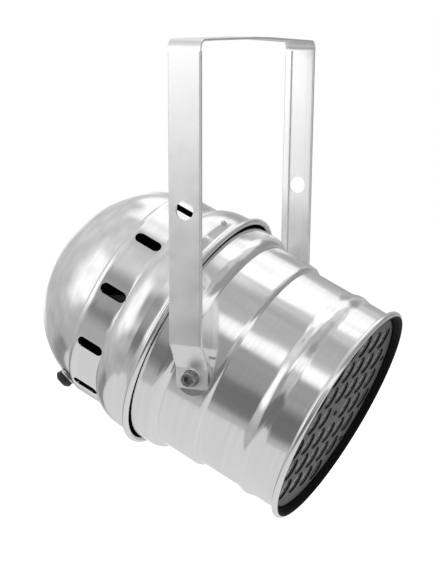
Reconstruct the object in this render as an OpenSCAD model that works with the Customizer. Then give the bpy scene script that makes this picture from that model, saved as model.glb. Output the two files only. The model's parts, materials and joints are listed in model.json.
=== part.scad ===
// LED par can: a short polished can with 36 lenses, tilting in a U-shaped yoke.
// The origin is the centre of the clamp hole, on top of the yoke's crossbar. +Z is up.
// The can points along +X and down. Its own frame has +Z forward along the can's axis,
// +X towards the can's underside and its origin on the axis beside the pivot screws.

/* [Tilt] */
// Angle of the can below the horizontal
tilt = 24.8; // [-90:0.1:90]
// Drop from the crossbar's top to the pivot screws
pivot_drop = 295.8; // [285:0.1:340]
// Distance from the pivot line to the can's axis, towards its underside
axis_drop = 4.2; // [0:0.1:6]

/* [Yoke] */
// Width of the yoke's strip
strip_w = 30.9; // [28:0.1:36]
// Thickness of the yoke's sheet
sheet_t = 2.1; // [1.5:0.1:2.5]
// Width of the folded-in border along each edge of an arm
border_w = 6.8; // [4:0.1:6.9]
// Outer radius of the bends at the top corners
corner_r = 9.5; // [6:0.5:14]
// Rise of the crossbar's middle above its ends
crossbar_rise = 2.5; // [0:0.1:5]
// Half length of the flat middle of the crossbar
pad_half = 16; // [12:1:40]
// Inward lean of an arm per millimetre of height
arm_lean = 0.0195; // [0:0.0005:0.03]
// Height of the upper bend of an arm's cranked end above the pivot
crank_top = 31.5; // [26:0.1:40]
// Height of the lower bend of an arm's cranked end above the pivot
crank_bottom = 9.2; // [8.5:0.1:14]
// Reach of an arm's flat end below the pivot
end_below = 9.9; // [9:0.1:16]
// Radius of the flat end's corners
end_corner_r = 4; // [2:0.5:8]
// Diameter of the clamp hole in the crossbar
clamp_hole_d = 12.4; // [10.2:0.1:14]
// Diameter of the hole in each arm
arm_hole_d = 16.8; // [10:0.1:17]
// Height of the arm holes above the pivot
arm_hole_up = 149.3; // [120:0.1:200]
// Gap between the rear shell's bead and the arms
arm_gap = 2; // [1.5:0.1:5]

/* [Pivot] */
// Diameter of the pivot screws
pivot_d = 8; // [6:0.5:10]
// Running gap round a pivot screw, on the radius
pivot_gap = 0.05; // [0.02:0.01:0.1]
// Diameter of a pivot screw's head
head_d = 13; // [12:0.5:15]
// Height of a pivot screw's head
head_h = 8; // [6:0.5:10]
// Diameter of the small washer under the head
small_washer_d = 16; // [15:0.5:18]
// Thickness of the small washer
small_washer_t = 1.2; // [0.8:0.1:2]
// Diameter of the friction washer and of the saddle spacer
friction_d = 33; // [26:0.5:36]
// Thickness of the friction washer
friction_t = 1.5; // [1:0.1:2.5]
// Height of the saddle spacer's flat face above the tube's side
saddle_h = 3.6; // [3:0.1:6]
// Diameter of the spacer inside the tube
inner_spacer_d = 24; // [18:0.5:28]
// Width across the flats of the pivot nut
pivot_nut_w = 13; // [12.5:0.5:17]
// Thickness of the pivot nut
pivot_nut_t = 6.5; // [5:0.5:8]
// Length of pivot screw beyond its nut
pivot_tail = 1.5; // [0.5:0.1:4]

/* [Front tube] */
// Wall of the tube and of the rear shell
wall = 1.5; // [1:0.1:2]
// Rise of the step from the front tube to the pivot section
front_step = 3.8; // [2.5:0.1:6]
// Rise of the step from the pivot section to the neck
neck_step = 6.7; // [4:0.1:9]
// Place of the neck's rear edge behind the pivot
neck_rear = 68; // [64:0.5:70]
// Place of the neck's front end behind the pivot
neck_front = 31; // [28:0.5:36]
// Length of the rounded step below the neck
neck_step_l = 11; // [7:0.5:11]
// Start of the rounded step in front of the pivot section
front_step_at = 16; // [14:0.5:16]
// Length of that rounded step
front_step_l = 5; // [3:0.5:5]
// Place of the soft ridge's crest
ridge_at = 72; // [66:0.5:76]
// Rise of the soft ridge
ridge_h = 2; // [0.5:0.1:3]
// Half length of the soft ridge
ridge_half = 11; // [7:0.5:12]
// Radius of the rolled rim's section
rim_bead_r = 3.2; // [2.5:0.1:4]
// Rise of the rim's bead centre above the tube's side
rim_bead_up = 2.8; // [2:0.1:3]
// Distance from the lens plate's face to the rim's bead centre
rim_ahead = 4; // [3.5:0.1:10]

/* [Rear shell] */
// Gap between the neck and the rear shell, on the radius
shell_gap = 1; // [0.5:0.1:2]
// Drop from the shell's collar to the slot band
collar_step = 8; // [7:0.1:9]
// Drop from the slot band to the dome's widest circle
dome_step = 2.3; // [2:0.1:6]
// Length of the dome from its centre
dome_l = 94.4; // [90:0.2:104]
// Place of the dome's centre behind the pivot
dome_at = 114; // [113:0.5:117]
// Place of the dome's edge behind the pivot
dome_edge_at = 125; // [124.5:0.1:126]
// Place of the slot band's front edge behind the pivot
band_front = 90.5; // [89:0.5:91]
// Place of the collar's rear edge behind the pivot
collar_rear = 70; // [69:0.5:74]
// Place of the front bead's centre behind the pivot
shell_bead_at = 49; // [46:0.5:52]
// Radius of the front bead's section
shell_bead_r = 3; // [2:0.1:3.5]
// Rise of the front bead's centre above the collar
shell_bead_up = 2.5; // [2:0.1:3]
// Number of cooling slots
slot_count = 12; // [8:1:14]
// Overall length of a slot
slot_l = 27.2; // [18:0.1:28]
// Width of a slot
slot_w = 10; // [6:0.5:12]
// Place of the slots' centres behind the pivot
slot_at = 104.2; // [103:0.1:105]
// Turn of the first slot from the underside
slot_turn = 13.7; // [0:0.1:30]
// Number of screws that hold the shell
shell_screw_count = 2; // [2:1:4]
// Place of those screws behind the pivot
shell_screw_at = 63; // [60:0.5:63]
// Turn of the first of those screws from the underside
shell_screw_turn = 12.5; // [0:0.1:30]

/* [Lenses] */
// Diameter of a lens hole
lens_d = 23; // [20:0.1:24]
// Gap between neighbouring lens holders
lens_gap = 3.8; // [2:0.1:6]
// Number of rings of lenses round the middle screw
lens_rings = 3; // [3:1:4]
// Turn of the lens pattern's corner from the underside
lens_turn = 26.7; // [0:0.1:59]
// Place of the lens plate's face in front of the pivot
plate_at = 104; // [100:0.5:120]
// Thickness of the lens plate
plate_t = 1.5; // [1:0.1:3]
// Width from the outermost lens holder to the tube's side
edge_margin = 6.5; // [6:0.1:9]
// Distance from the middle to the edge screws
edge_screw_at = 91.5; // [91:0.1:93]
// Thickness of a lens flange
lens_flange_t = 1.7; // [1.2:0.1:2.5]
// Height of a lens holder
holder_h = 14; // [12:0.5:18]
// Thickness of the LED board
led_board_t = 1.6; // [1:0.1:3]
// Thickness of the heat sink's plate
sink_t = 4; // [3:0.5:6]
// Height of the heat sink's fins
fin_h = 14; // [8:0.5:18]
// Thickness of a fin
fin_t = 2; // [1:0.1:3]
// Spacing of the fins
fin_pitch = 12; // [8:0.5:16]

/* [Driver] */
// Width of the two side brackets
bracket_w = 36; // [30:1:40]
// Thickness of the side brackets and of the driver plate
bracket_t = 2; // [1.5:0.1:3]
// Length of the driver plate
driver_plate_l = 110; // [104:1:112]
// Length of the driver board
driver_board_l = 96; // [90:1:98]
// Width of the driver board
driver_board_w = 130; // [120:1:150]
// Height of the driver board's standoffs
driver_standoff_h = 6; // [4:0.5:10]

/* [Rear panel] */
// Radius of the rear panel
panel_r = 51.5; // [50:0.5:54]
// Thickness of the rear panel
panel_t = 2; // [1.5:0.1:3]
// Turn of the rear panel from straight back towards the far side
panel_turn = 35; // [25:1:40]
// Travel of a push button
button_travel = 0.8; // [0.4:0.1:0.9]
// Diameter of a push button
button_d = 6; // [5:0.1:7]
// Spacing of the push buttons
button_pitch = 12; // [11:0.5:12]
// Diameter of a data socket's bore
socket_bore = 19.3; // [18:0.1:19.5]
// Depth of a data socket's bore
socket_depth = 14.5; // [12:0.5:16]
// Travel of the data output's latch
latch_travel = 1; // [0.5:0.1:1]

/* [Cable gland] */
// Angle of the gland from the dome's apex
gland_turn = 77; // [70:0.5:77]
// Diameter of the gland's thread
gland_thread_d = 12; // [10:0.5:12]
// Diameter of the gland's cap
gland_cap_d = 18; // [16:0.5:20]
// Height of the gland's cap
gland_cap_h = 6.5; // [6:0.5:10]
// Diameter of the cable that the gland takes
cable_d = 8; // [6:0.5:8]

/* [Hidden] */
$fn = 96;

// Clearances
fit_gap = 0.02;        // parts that are clamped or pressed together
seat_gap = 0.2;        // parts that drop into a seat
screw_gap = 0.2;       // screw shank in a plain hole, on the radius
slide_gap = 0.15;      // a button in its hole, on the radius

// Standard screws: M3 and M4 pan heads, M3 hexagon standoffs and nuts
m3_d = 3;
m3_head_d = 5.5;
m3_head_h = 1.8;
m3_nut_w = 5.5;
m3_nut_t = 2.4;
m4_d = 4;
m4_head_d = 7;
m4_head_h = 2;

// Lens stack, from the front plate backwards
holder_r = lens_d / 2 + 0.8;
holder_wall = 1.1;
lens_pitch = 2 * holder_r + lens_gap;
plate_back = plate_at - plate_t;
flange_back = plate_back - lens_flange_t;
board_front = flange_back - holder_h;
board_back = board_front - led_board_t;
sink_back = board_back - sink_t;
fin_back = sink_back - fin_h;
emitter_w = 3.5;
emitter_h = 2.2;
lens_body_gap = 0.5;

// Radii of the tube, from the lens pattern outwards
front_r = lens_rings * lens_pitch + holder_r + edge_margin;
tube_r = front_r + front_step;
neck_r = tube_r + neck_step;
front_in = front_r - wall;
led_plate_r = front_in - 2.5;
led_disc_r = led_plate_r - 1;

// Radii of the rear shell, from the neck outwards
collar_r = neck_r + shell_gap + wall;
band_r = collar_r - collar_step;
dome_r = band_r - dome_step;
shell_bead_out = collar_r + shell_bead_up + shell_bead_r;
shoulder_back = dome_edge_at - dome_at;
shoulder_l = 6.5;      // length of the rounded shoulder from the dome's edge to the slot band

// Yoke: places of its bends as distance from the middle and height above the pivot
hem_t = 2 * sheet_t;
end_y = tube_r + saddle_h + friction_t + sheet_t;
crank_y = shell_bead_out + arm_gap + hem_t;
corner_z = pivot_drop - crossbar_rise;
corner_y = crank_y + arm_lean * (corner_z - crank_top);
arm_top_z = corner_z - corner_r - 1;
border_end = friction_d / 2 + 3;
hole_y = crank_y + arm_lean * (arm_hole_up - crank_top);

// Brackets and pivot stack inside the tube
leg_y = sqrt(front_in * front_in - bracket_w * bracket_w / 4) - seat_gap;
leg_in = leg_y - bracket_t;
leg_rear = 16;
tab_l = 14;
bolt_tip = leg_in - pivot_nut_t - pivot_tail;

// Driver plate and board
driver_x = 8;
driver_plate_front = 50;
flange_rear = 16;
flange_up = 10;
driver_board_x = driver_x - driver_standoff_h;
driver_board_t = 1.6;
driver_standoff_w = 5.5;
board_edge = 6;
board_mid_s = driver_plate_front - driver_board_l / 2 - 4;
core_w = 36;           // the transformer's base, winding and height
core_l = 40;
core_h = 29;
winding_w = 20;
winding_l = 30;
capacitor_d = 16;
capacitor_h = 28;
capacitor_y = 14;
capacitor_pitch = 19;
terminal_size = [12, 30, 14];

// Rear panel: the plane that cuts the dome, and the middle of that cut
cut_r = panel_r - 0.5;
dome_in_r = dome_r - wall;
dome_in_l = dome_l - wall;
reach_out = norm([dome_r * sin(panel_turn), dome_l * cos(panel_turn)]);
reach_in = norm([dome_in_r * sin(panel_turn), dome_in_l * cos(panel_turn)]);
panel_h = reach_out * sqrt(1 - pow(cut_r / dome_r, 2));
panel_shift = panel_h * (dome_r * dome_r - dome_l * dome_l)
  * sin(panel_turn) * cos(panel_turn) / (reach_out * reach_out);
ring_z = -6;
ring_t = 2;
ring_top = panel_h + ring_z + ring_t;
ring_r = dome_in_r * dome_in_l / reach_in * sqrt(1 - pow(ring_top / reach_in, 2)) - 0.7;
panel_screw_at = panel_r - 8;
socket_x = 18;
socket_y = 20;
socket_flange = [31, 26, 2.5];
socket_face = panel_t + socket_flange[2];
socket_wall = 2.15;
ring_in_r = norm([socket_x, socket_y]) + socket_bore / 2 + socket_wall + 0.3;
socket_back = -22;
socket_floor = socket_face - socket_depth;
pin_r = 4.8;
pin_d = 2.4;
pin_top = socket_face - 5;
insert_d = socket_bore - 3.9;
socket_screw = [12, 9.5];
latch_x = -12.85;
latch_size = [3.7, 9];
latch_rest = panel_t + latch_travel + 0.2;
display_x = -24;
display_size = [14, 32];
module_size = [12, 30];
button_x = -8;
control_z = -10;
control_t = 1.6;
control_size = [38, 66];
control_x = -20;
control_posts = [for (side = [-1, 1])
  each [[control_x - control_size[0] / 2 + 13, side * (control_size[1] / 2 - 13)],
    [control_x + control_size[0] / 2 - 3, side * (control_size[1] / 2 - 5)]]];
control_post_d = 5;
switch_w = 6;
switch_h = 3.5;
plunger_d = 3.5;
plunger_h = 0.6;
button_foot = control_z + switch_h + plunger_h + button_travel + 0.1;
button_collar = 0.8;
button_top = 4;

// Cable gland: its turn, midway between two slots, the point on the dome and its direction
gland_side = slot_turn - 1.5 * 360 / slot_count;
gland_point_r = dome_r * sin(gland_turn);
gland_point_s = -dome_at - dome_l * cos(gland_turn);
gland_lean = atan2(dome_r * cos(gland_turn), dome_l * sin(gland_turn));
gland_washer_t = 1.6;
gland_flange_t = 2;
gland_inside = 8;
gland_seal_up = 0.4;   // the seal starts this far above the flange's foot
gland_seal_h = gland_flange_t + gland_cap_h - 5;
gland_nut_w = 17;
gland_nut_t = 4;
gland_hex_w = 16;

// Helpers for outlines of bent sheet: a path and its copy at a distance to the left
function unit(v) = v / norm(v);
function left(v) = [-v[1], v[0]];
function step_into(path, i) = unit(path[max(i, 1)] - path[max(i, 1) - 1]);
function step_out(path, i) = unit(path[min(i, len(path) - 2) + 1] - path[min(i, len(path) - 2)]);
function miter(path, i, d) =
  let (a = step_into(path, i), b = step_out(path, i), n = unit(left(a) + left(b)))
  path[i] + n * d / (n * left(a));
function beside(path, d) = [for (i = [0:len(path) - 1]) miter(path, i, d)];
function backwards(path) = [for (i = [len(path) - 1:-1:0]) path[i]];
function off_axis(path) = [for (p = path) [max(p[0], 0), p[1]]];

module sheet_outline(path, near, far) {
  polygon(concat(beside(path, near), backwards(beside(path, far))));
}

// A hexagon by its width across the flats
module hex_bar(w, h) {
  cylinder(h = h, d = w / cos(30), $fn = 6);
}

module ring(outer, inner, h) {
  difference() {
    cylinder(h = h, r = outer);
    translate([0, 0, -1]) cylinder(h = h + 2, r = inner);
  }
}

// Frames
module at_pivot() {
  translate([0, 0, -pivot_drop]) children();
}

module can_frame() {
  at_pivot() rotate([0, 90 + tilt, 0]) translate([axis_drop, 0, 0]) children();
}

// Both pivot screws: +Z points out of the can
module at_both_pivots() {
  for (side = [-1, 1])
    translate([-axis_drop, 0, 0]) rotate([-90 * side, 0, 0]) children();
}

// The rear panel: +Z points out of it, +X towards the can's underside
module panel_frame() {
  can_frame() translate([0, 0, -dome_at]) rotate([180 + panel_turn, 0, 0])
    translate([0, -panel_shift, panel_h]) children();
}

// The cable gland: +Z points out of the dome
module gland_frame() {
  can_frame() rotate([0, 0, gland_side]) translate([gland_point_r, 0, gland_point_s])
    rotate([0, 90 + gland_lean, 0]) children();
}

module at_sockets() {
  for (side = [-1, 1]) translate([socket_x, side * socket_y, 0]) children();
}

module at_shell_screws() {
  for (i = [0:shell_screw_count - 1])
    rotate([0, 0, shell_screw_turn + i * 360 / shell_screw_count])
      translate([0, 0, -shell_screw_at]) rotate([0, 90, 0]) children();
}

// Every lens place but the middle one
module at_lenses() {
  for (q = [-lens_rings:lens_rings], r = [-lens_rings:lens_rings])
    if (abs(q + r) <= lens_rings && (q != 0 || r != 0))
      rotate([0, 0, lens_turn])
        translate([lens_pitch * (q + r * cos(60)), lens_pitch * r * sin(60), 0]) children();
}

// The screws of the lens plate: the middle one and four beside flats of the pattern
module at_plate_screws() {
  children();
  for (k = [0, 1, 3, 4])
    rotate([0, 0, lens_turn + 30 + 60 * k]) translate([edge_screw_at, 0, 0]) children();
}

module at_fins() {
  fins = floor((leg_y - tab_l - 4) / fin_pitch);
  for (i = [-fins:fins]) translate([0, i * fin_pitch, 0]) children();
}

module at_sink_screws() {
  for (x = [-10, 10], side = [-1, 1])
    translate([x, side * (leg_y - tab_l / 2), 0]) children();
}

module at_board_corners() {
  for (i = [-1, 1], j = [-1, 1])
    translate([0, j * (driver_board_w / 2 - board_edge),
      board_mid_s + i * (driver_board_l / 2 - board_edge)]) children();
}

module at_flange_screws() {
  for (s = [flange_rear + 8, driver_plate_front - 8], side = [-1, 1])
    translate([-2, side * leg_in, s]) rotate([-90 * side, 0, 0]) children();
}

// Outlines
function bend(cy, cz, r, from, to) =
  [for (i = [0:6]) let (a = from + (to - from) * i / 6) [cy + r * sin(a), cz + r * cos(a)]];

// Outer face of one half of the yoke, from the middle of the crossbar to the arm's end
bend_y = corner_y - corner_r;
bend_z = corner_z - corner_r;
slope_angle = atan2(crossbar_rise, bend_y - pad_half);
lean_angle = atan(arm_lean);
arm_path = [
  [crank_y + arm_lean * (arm_top_z - crank_top), arm_top_z],
  [crank_y, crank_top],
  [end_y + (crank_y - end_y) * (border_end - crank_bottom) / (crank_top - crank_bottom),
   border_end]
];
half_yoke = concat(
  [[0, pivot_drop], [pad_half, pivot_drop]],
  bend(bend_y, bend_z, corner_r, slope_angle, 90 + lean_angle),
  [[crank_y, crank_top], [end_y, crank_bottom], [end_y, -end_below]]
);

// Outer face of the tube, from the neck's rear edge to the rim: radius and place
function quarter(r, rise, s, length) =
  [for (i = [0:8]) [r + rise * cos(90 * i / 8), s + length * sin(90 * i / 8)]];
function ridge(r) =
  [for (i = [-6:6]) [r + ridge_h * (0.5 + 0.5 * cos(30 * i)), ridge_at + ridge_half * i / 6]];
rim_at = plate_at + rim_ahead;
rim_bead = [front_r + rim_bead_up, rim_at];
tube_path = concat(
  [[neck_r, -neck_rear]],
  quarter(tube_r, neck_step, -neck_front, neck_step_l),
  quarter(front_r, front_step, front_step_at, front_step_l),
  ridge(front_r),
  [[front_r, rim_at - rim_bead_r - 1.3], [rim_bead[0] - 0.8, rim_at - rim_bead_r / 2]]
);

// Outer face of the shell, from the apex to the front bead: radius and place
dome_end = acos(shoulder_back / dome_l);
dome_path = [for (i = [1:24]) let (a = dome_end * i / 24)
  [dome_r * sin(a), -dome_at - dome_l * cos(a)]];
dome_edge_r = dome_r * sin(dome_end);
dome_shoulder = [for (i = [1:6]) let (a = 15 * i)
  [dome_edge_r + (band_r - dome_edge_r) * sin(a), -dome_edge_at + shoulder_l * (1 - cos(a))]];
collar_drop = collar_r - 0.4 - band_r;
collar_shoulder = [for (i = [0:6]) let (a = 36 - 32 * i / 6)
  [collar_r - 0.4 - collar_drop * (cos(4) - cos(a)) / (cos(4) - cos(36)),
   -collar_rear - (band_front - collar_rear) * (sin(a) - sin(4)) / (sin(36) - sin(4))]];
shell_bead = [collar_r + shell_bead_up, -shell_bead_at];
shell_path = concat(
  [[0, -dome_at - dome_l]],
  dome_path,
  dome_shoulder,
  collar_shoulder,
  [[collar_r, -collar_rear + 1], [collar_r, -shell_bead_at - 8],
   [shell_bead[0] - 0.9, shell_bead[1] - shell_bead_r / 2]]
);

// Yoke and pivot

module half_yoke_solid() {
  difference() {
    union() {
      translate([-strip_w / 2, 0, 0]) rotate([90, 0, 90])
        linear_extrude(strip_w) sheet_outline(half_yoke, 0, -sheet_t);
      for (x = [-strip_w / 2, strip_w / 2 - border_w])
        translate([x, 0, 0]) rotate([90, 0, 90])
          linear_extrude(border_w) sheet_outline(arm_path, 0, -hem_t);
    }
    translate([0, end_y - hem_t, 0]) rotate([-90, 0, 0])
      cylinder(h = 2 * hem_t, d = pivot_d + 2 * pivot_gap);
    translate([0, hole_y - 2 * hem_t, arm_hole_up]) rotate([-90, 0, 0])
      cylinder(h = 4 * hem_t, d = arm_hole_d);
    for (side = [-1, 1])
      translate([side * (strip_w / 2 - end_corner_r), end_y - hem_t, end_corner_r - end_below])
        difference() {
          translate([side > 0 ? 0 : -2 * end_corner_r, 0, -2 * end_corner_r])
            cube([2 * end_corner_r, 2 * hem_t, 2 * end_corner_r]);
          translate([0, -1, 0]) rotate([-90, 0, 0])
            cylinder(h = 2 * hem_t + 2, r = end_corner_r);
        }
  }
}

module yoke() {
  color("gainsboro") at_pivot() difference() {
    union() {
      half_yoke_solid();
      mirror([0, 1, 0]) half_yoke_solid();
    }
    translate([0, 0, pivot_drop - 2 * sheet_t]) cylinder(h = 4 * sheet_t, d = clamp_hole_d);
  }
}

module pivot_bolts() {
  color("dimgray") can_frame() at_both_pivots() {
    translate([0, 0, bolt_tip]) cylinder(h = end_y + small_washer_t - bolt_tip + 1, d = pivot_d);
    translate([0, 0, end_y + small_washer_t]) difference() {
      cylinder(h = head_h, d = head_d);
      translate([0, 0, head_h - 4.5]) hex_bar(6, 6);
    }
  }
}

module bolt_washers() {
  color("silver") can_frame() at_both_pivots()
    translate([0, 0, end_y]) ring(small_washer_d / 2, pivot_d / 2 + screw_gap, small_washer_t);
}

module friction_washers() {
  color("dimgray") can_frame() at_both_pivots()
    translate([0, 0, tube_r + saddle_h])
      ring(friction_d / 2, pivot_d / 2 + screw_gap, friction_t);
}

module saddle_spacers() {
  color("silver") can_frame() difference() {
    at_both_pivots() translate([0, 0, tube_r - 8])
      ring(friction_d / 2, pivot_d / 2 + screw_gap, saddle_h + 8);
    translate([0, 0, -friction_d]) cylinder(h = 2 * friction_d, r = tube_r + fit_gap);
  }
}

module inner_spacers() {
  color("silver") can_frame() intersection() {
    at_both_pivots() translate([0, 0, leg_y + fit_gap])
      ring(inner_spacer_d / 2, pivot_d / 2 + screw_gap, tube_r - leg_y);
    translate([0, 0, -friction_d]) cylinder(h = 2 * friction_d, r = tube_r - wall - fit_gap);
  }
}

module pivot_nuts() {
  color("silver") can_frame() at_both_pivots()
    translate([0, 0, leg_in - pivot_nut_t]) difference() {
      hex_bar(pivot_nut_w, pivot_nut_t);
      translate([0, 0, -1]) cylinder(h = pivot_nut_t + 2, d = pivot_d + 2 * fit_gap);
    }
}

// Tube and shell

module front_tube() {
  color("whitesmoke") can_frame() difference() {
    rotate_extrude() {
      sheet_outline(tube_path, 0, wall);
      translate(rim_bead) circle(rim_bead_r, $fn = 48);
    }
    at_both_pivots() translate([0, 0, tube_r - 8]) cylinder(h = 16, d = pivot_d + 2 * screw_gap);
    at_shell_screws() translate([0, 0, neck_r - 8]) cylinder(h = 16, d = m3_d + 2 * screw_gap);
  }
}

module rear_shell() {
  color("whitesmoke") difference() {
    can_frame() difference() {
      rotate_extrude() {
        polygon(off_axis(concat(shell_path, backwards(beside(shell_path, wall)))));
        translate(shell_bead) circle(shell_bead_r, $fn = 48);
      }
      for (i = [0:slot_count - 1])
        rotate([0, 0, slot_turn + i * 360 / slot_count])
          translate([0, 0, -slot_at]) rotate([0, 90, 0]) translate([0, 0, band_r - 20]) {
            for (end = [-1, 1]) translate([end * (slot_l - slot_w) / 2, 0, 0])
              cylinder(h = 40, d = slot_w);
            translate([-(slot_l - slot_w) / 2, -slot_w / 2, 0])
              cube([slot_l - slot_w, slot_w, 40]);
          }
      at_shell_screws() translate([0, 0, collar_r - 8])
        cylinder(h = 16, d = m3_d + 2 * screw_gap);
    }
    gland_frame() translate([0, 0, -10]) cylinder(h = 20, d = gland_thread_d + 2 * screw_gap);
    panel_frame() translate([-dome_r, -dome_r, 0]) cube([2 * dome_r, 2 * dome_r, dome_l]);
  }
}

module shell_screws() {
  color("silver") can_frame() at_shell_screws() {
    translate([0, 0, neck_r - wall - m3_nut_t - 1])
      cylinder(h = collar_r - neck_r + wall + m3_nut_t + 2, d = m3_d);
    translate([0, 0, collar_r]) cylinder(h = m3_head_h, d = m3_head_d);
  }
}

module shell_nuts() {
  color("silver") can_frame() at_shell_screws()
    translate([0, 0, neck_r - wall - m3_nut_t - 0.1]) difference() {
      hex_bar(m3_nut_w, m3_nut_t);
      translate([0, 0, -1]) cylinder(h = m3_nut_t + 2, d = m3_d + 2 * fit_gap);
    }
}

// Lens plate and what lies behind it

module front_gasket() {
  color("black") can_frame() translate([0, 0, flange_back + 0.4]) {
    ring(front_in - seat_gap, led_plate_r + seat_gap, plate_at - flange_back - 0.8);
    ring(front_in - seat_gap, led_plate_r - 1.7, plate_back - flange_back - 0.4 - fit_gap);
  }
}

module lens_plate() {
  color("dimgray") can_frame() translate([0, 0, plate_back]) difference() {
    cylinder(h = plate_t, r = led_plate_r);
    at_lenses() translate([0, 0, -1]) cylinder(h = plate_t + 2, d = lens_d);
    at_plate_screws() translate([0, 0, -1]) cylinder(h = plate_t + 2, d = m3_d + 2 * screw_gap);
  }
}

module plate_screws() {
  color("silver") can_frame() at_plate_screws() {
    translate([0, 0, plate_at - 8]) cylinder(h = 8 + m3_head_h / 2, d = m3_d);
    translate([0, 0, plate_at]) cylinder(h = m3_head_h, d = m3_head_d);
  }
}

module plate_posts() {
  color("silver") can_frame() at_plate_screws() {
    translate([0, 0, board_front]) difference() {
      hex_bar(m3_nut_w, plate_back - board_front);
      translate([0, 0, plate_back - board_front - 10]) cylinder(h = 12, d = m3_d + 2 * fit_gap);
    }
    translate([0, 0, board_back - 3]) cylinder(h = led_board_t + 4, d = m3_d);
  }
}

module lenses() {
  foot = board_front + lens_body_gap;
  color("lightgray") can_frame() at_lenses() rotate_extrude() polygon([
    [1.2, plate_back],
    [holder_r, plate_back],
    [holder_r, flange_back],
    [holder_r - holder_wall - 0.4, flange_back],
    [4.6, foot],
    [3.2, foot],
    [3.2, board_front + emitter_h + 1.5],
    [0, board_front + emitter_h + 1.5],
    [0, plate_back - 0.8]
  ]);
}

module lens_holders() {
  color("black") can_frame() at_lenses()
    translate([0, 0, board_front]) ring(holder_r, holder_r - holder_wall, holder_h);
}

module led_emitters() {
  color("gold") can_frame() at_lenses() translate([0, 0, board_front]) {
    translate([-emitter_w / 2, -emitter_w / 2, 0]) cube([emitter_w, emitter_w, 1]);
    cylinder(h = emitter_h, r = 1.3);
  }
}

module led_board() {
  color("white") can_frame() translate([0, 0, board_back]) difference() {
    cylinder(h = led_board_t, r = led_disc_r);
    at_plate_screws() translate([0, 0, -1])
      cylinder(h = led_board_t + 2, d = m3_d + 2 * screw_gap);
  }
}

module heat_sink() {
  color("silver") can_frame() difference() {
    union() {
      translate([0, 0, sink_back]) cylinder(h = sink_t, r = led_plate_r);
      intersection() {
        at_fins() translate([-led_plate_r, -fin_t / 2, fin_back])
          cube([2 * led_plate_r, fin_t, fin_h + sink_t / 2]);
        translate([0, 0, fin_back]) cylinder(h = fin_h + sink_t, r = led_plate_r - 4);
      }
    }
    at_plate_screws() translate([0, 0, board_back - 3 - seat_gap])
      cylinder(h = 6, d = m3_d + 2 * fit_gap);
    at_sink_screws() translate([0, 0, sink_back - 1]) cylinder(h = 4, d = m4_d + 2 * fit_gap);
  }
}

module side_brackets() {
  color("gray") can_frame() difference() {
    for (side = [-1, 1]) {
      translate([-bracket_w / 2, side > 0 ? leg_in : -leg_y, -leg_rear])
        cube([bracket_w, bracket_t, sink_back + leg_rear]);
      translate([-bracket_w / 2, side > 0 ? leg_y - tab_l : -leg_y, sink_back - bracket_t])
        cube([bracket_w, tab_l, bracket_t]);
    }
    at_both_pivots() translate([0, 0, leg_in - 2])
      cylinder(h = bracket_t + 4, d = pivot_d + 2 * screw_gap);
    at_sink_screws() translate([0, 0, sink_back - bracket_t - 1])
      cylinder(h = bracket_t + 2, d = m4_d + 2 * screw_gap);
    at_flange_screws() translate([0, 0, -1]) cylinder(h = bracket_t + 2, d = m4_d + 2 * fit_gap);
  }
}

module sink_screws() {
  color("silver") can_frame() at_sink_screws() {
    translate([0, 0, sink_back - bracket_t - 1]) cylinder(h = bracket_t + 3.5, d = m4_d);
    translate([0, 0, sink_back - bracket_t - m4_head_h]) cylinder(h = m4_head_h, d = m4_head_d);
  }
}

// Driver

module driver_plate() {
  color("gray") can_frame() difference() {
    union() {
      translate([driver_x, -leg_in + bracket_t, driver_plate_front - driver_plate_l])
        cube([bracket_t, 2 * (leg_in - bracket_t), driver_plate_l]);
      for (side = [-1, 1])
        translate([-flange_up, side > 0 ? leg_in - bracket_t : -leg_in, flange_rear])
          cube([flange_up + driver_x + bracket_t, bracket_t, driver_plate_front - flange_rear]);
    }
    at_flange_screws() translate([0, 0, -bracket_t - 1])
      cylinder(h = bracket_t + 2, d = m4_d + 2 * screw_gap);
    at_board_corners() translate([driver_x - 1, 0, 0]) rotate([0, 90, 0])
      cylinder(h = bracket_t + 2, d = m3_d + 2 * screw_gap);
  }
}

module driver_plate_screws() {
  color("silver") can_frame() at_flange_screws() {
    translate([0, 0, -bracket_t - m4_head_h]) cylinder(h = m4_head_h, d = m4_head_d);
    translate([0, 0, -bracket_t - 1]) cylinder(h = 2 * bracket_t + 1, d = m4_d);
  }
}

module driver_standoffs() {
  color("silver") can_frame() at_board_corners() {
    translate([driver_board_x, 0, 0]) rotate([0, 90, 0]) difference() {
      hex_bar(driver_standoff_w, driver_standoff_h);
      translate([0, 0, -1]) cylinder(h = driver_standoff_h - 1, d = m3_d + 2 * fit_gap);
    }
    translate([driver_x - 1, 0, 0]) rotate([0, 90, 0]) cylinder(h = bracket_t + 1.5, d = m3_d);
  }
}

module driver_board() {
  color("darkgreen") can_frame() difference() {
    translate([driver_board_x - driver_board_t, -driver_board_w / 2,
      board_mid_s - driver_board_l / 2])
      cube([driver_board_t, driver_board_w, driver_board_l]);
    at_board_corners() translate([driver_board_x - driver_board_t - 1, 0, 0]) rotate([0, 90, 0])
      cylinder(h = driver_board_t + 2, d = m3_d + 2 * screw_gap);
  }
}

module board_screws() {
  color("silver") can_frame() at_board_corners()
    translate([driver_board_x - driver_board_t, 0, 0]) rotate([0, 90, 0]) {
      translate([0, 0, -m3_head_h]) cylinder(h = m3_head_h, d = m3_head_d);
      translate([0, 0, -1]) cylinder(h = 5, d = m3_d);
    }
}

// Components stand on the driver board, which faces the can's top
module on_driver_board(y, s) {
  can_frame() translate([driver_board_x - driver_board_t, y, board_mid_s + s])
    rotate([0, -90, 0]) children();
}

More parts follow.
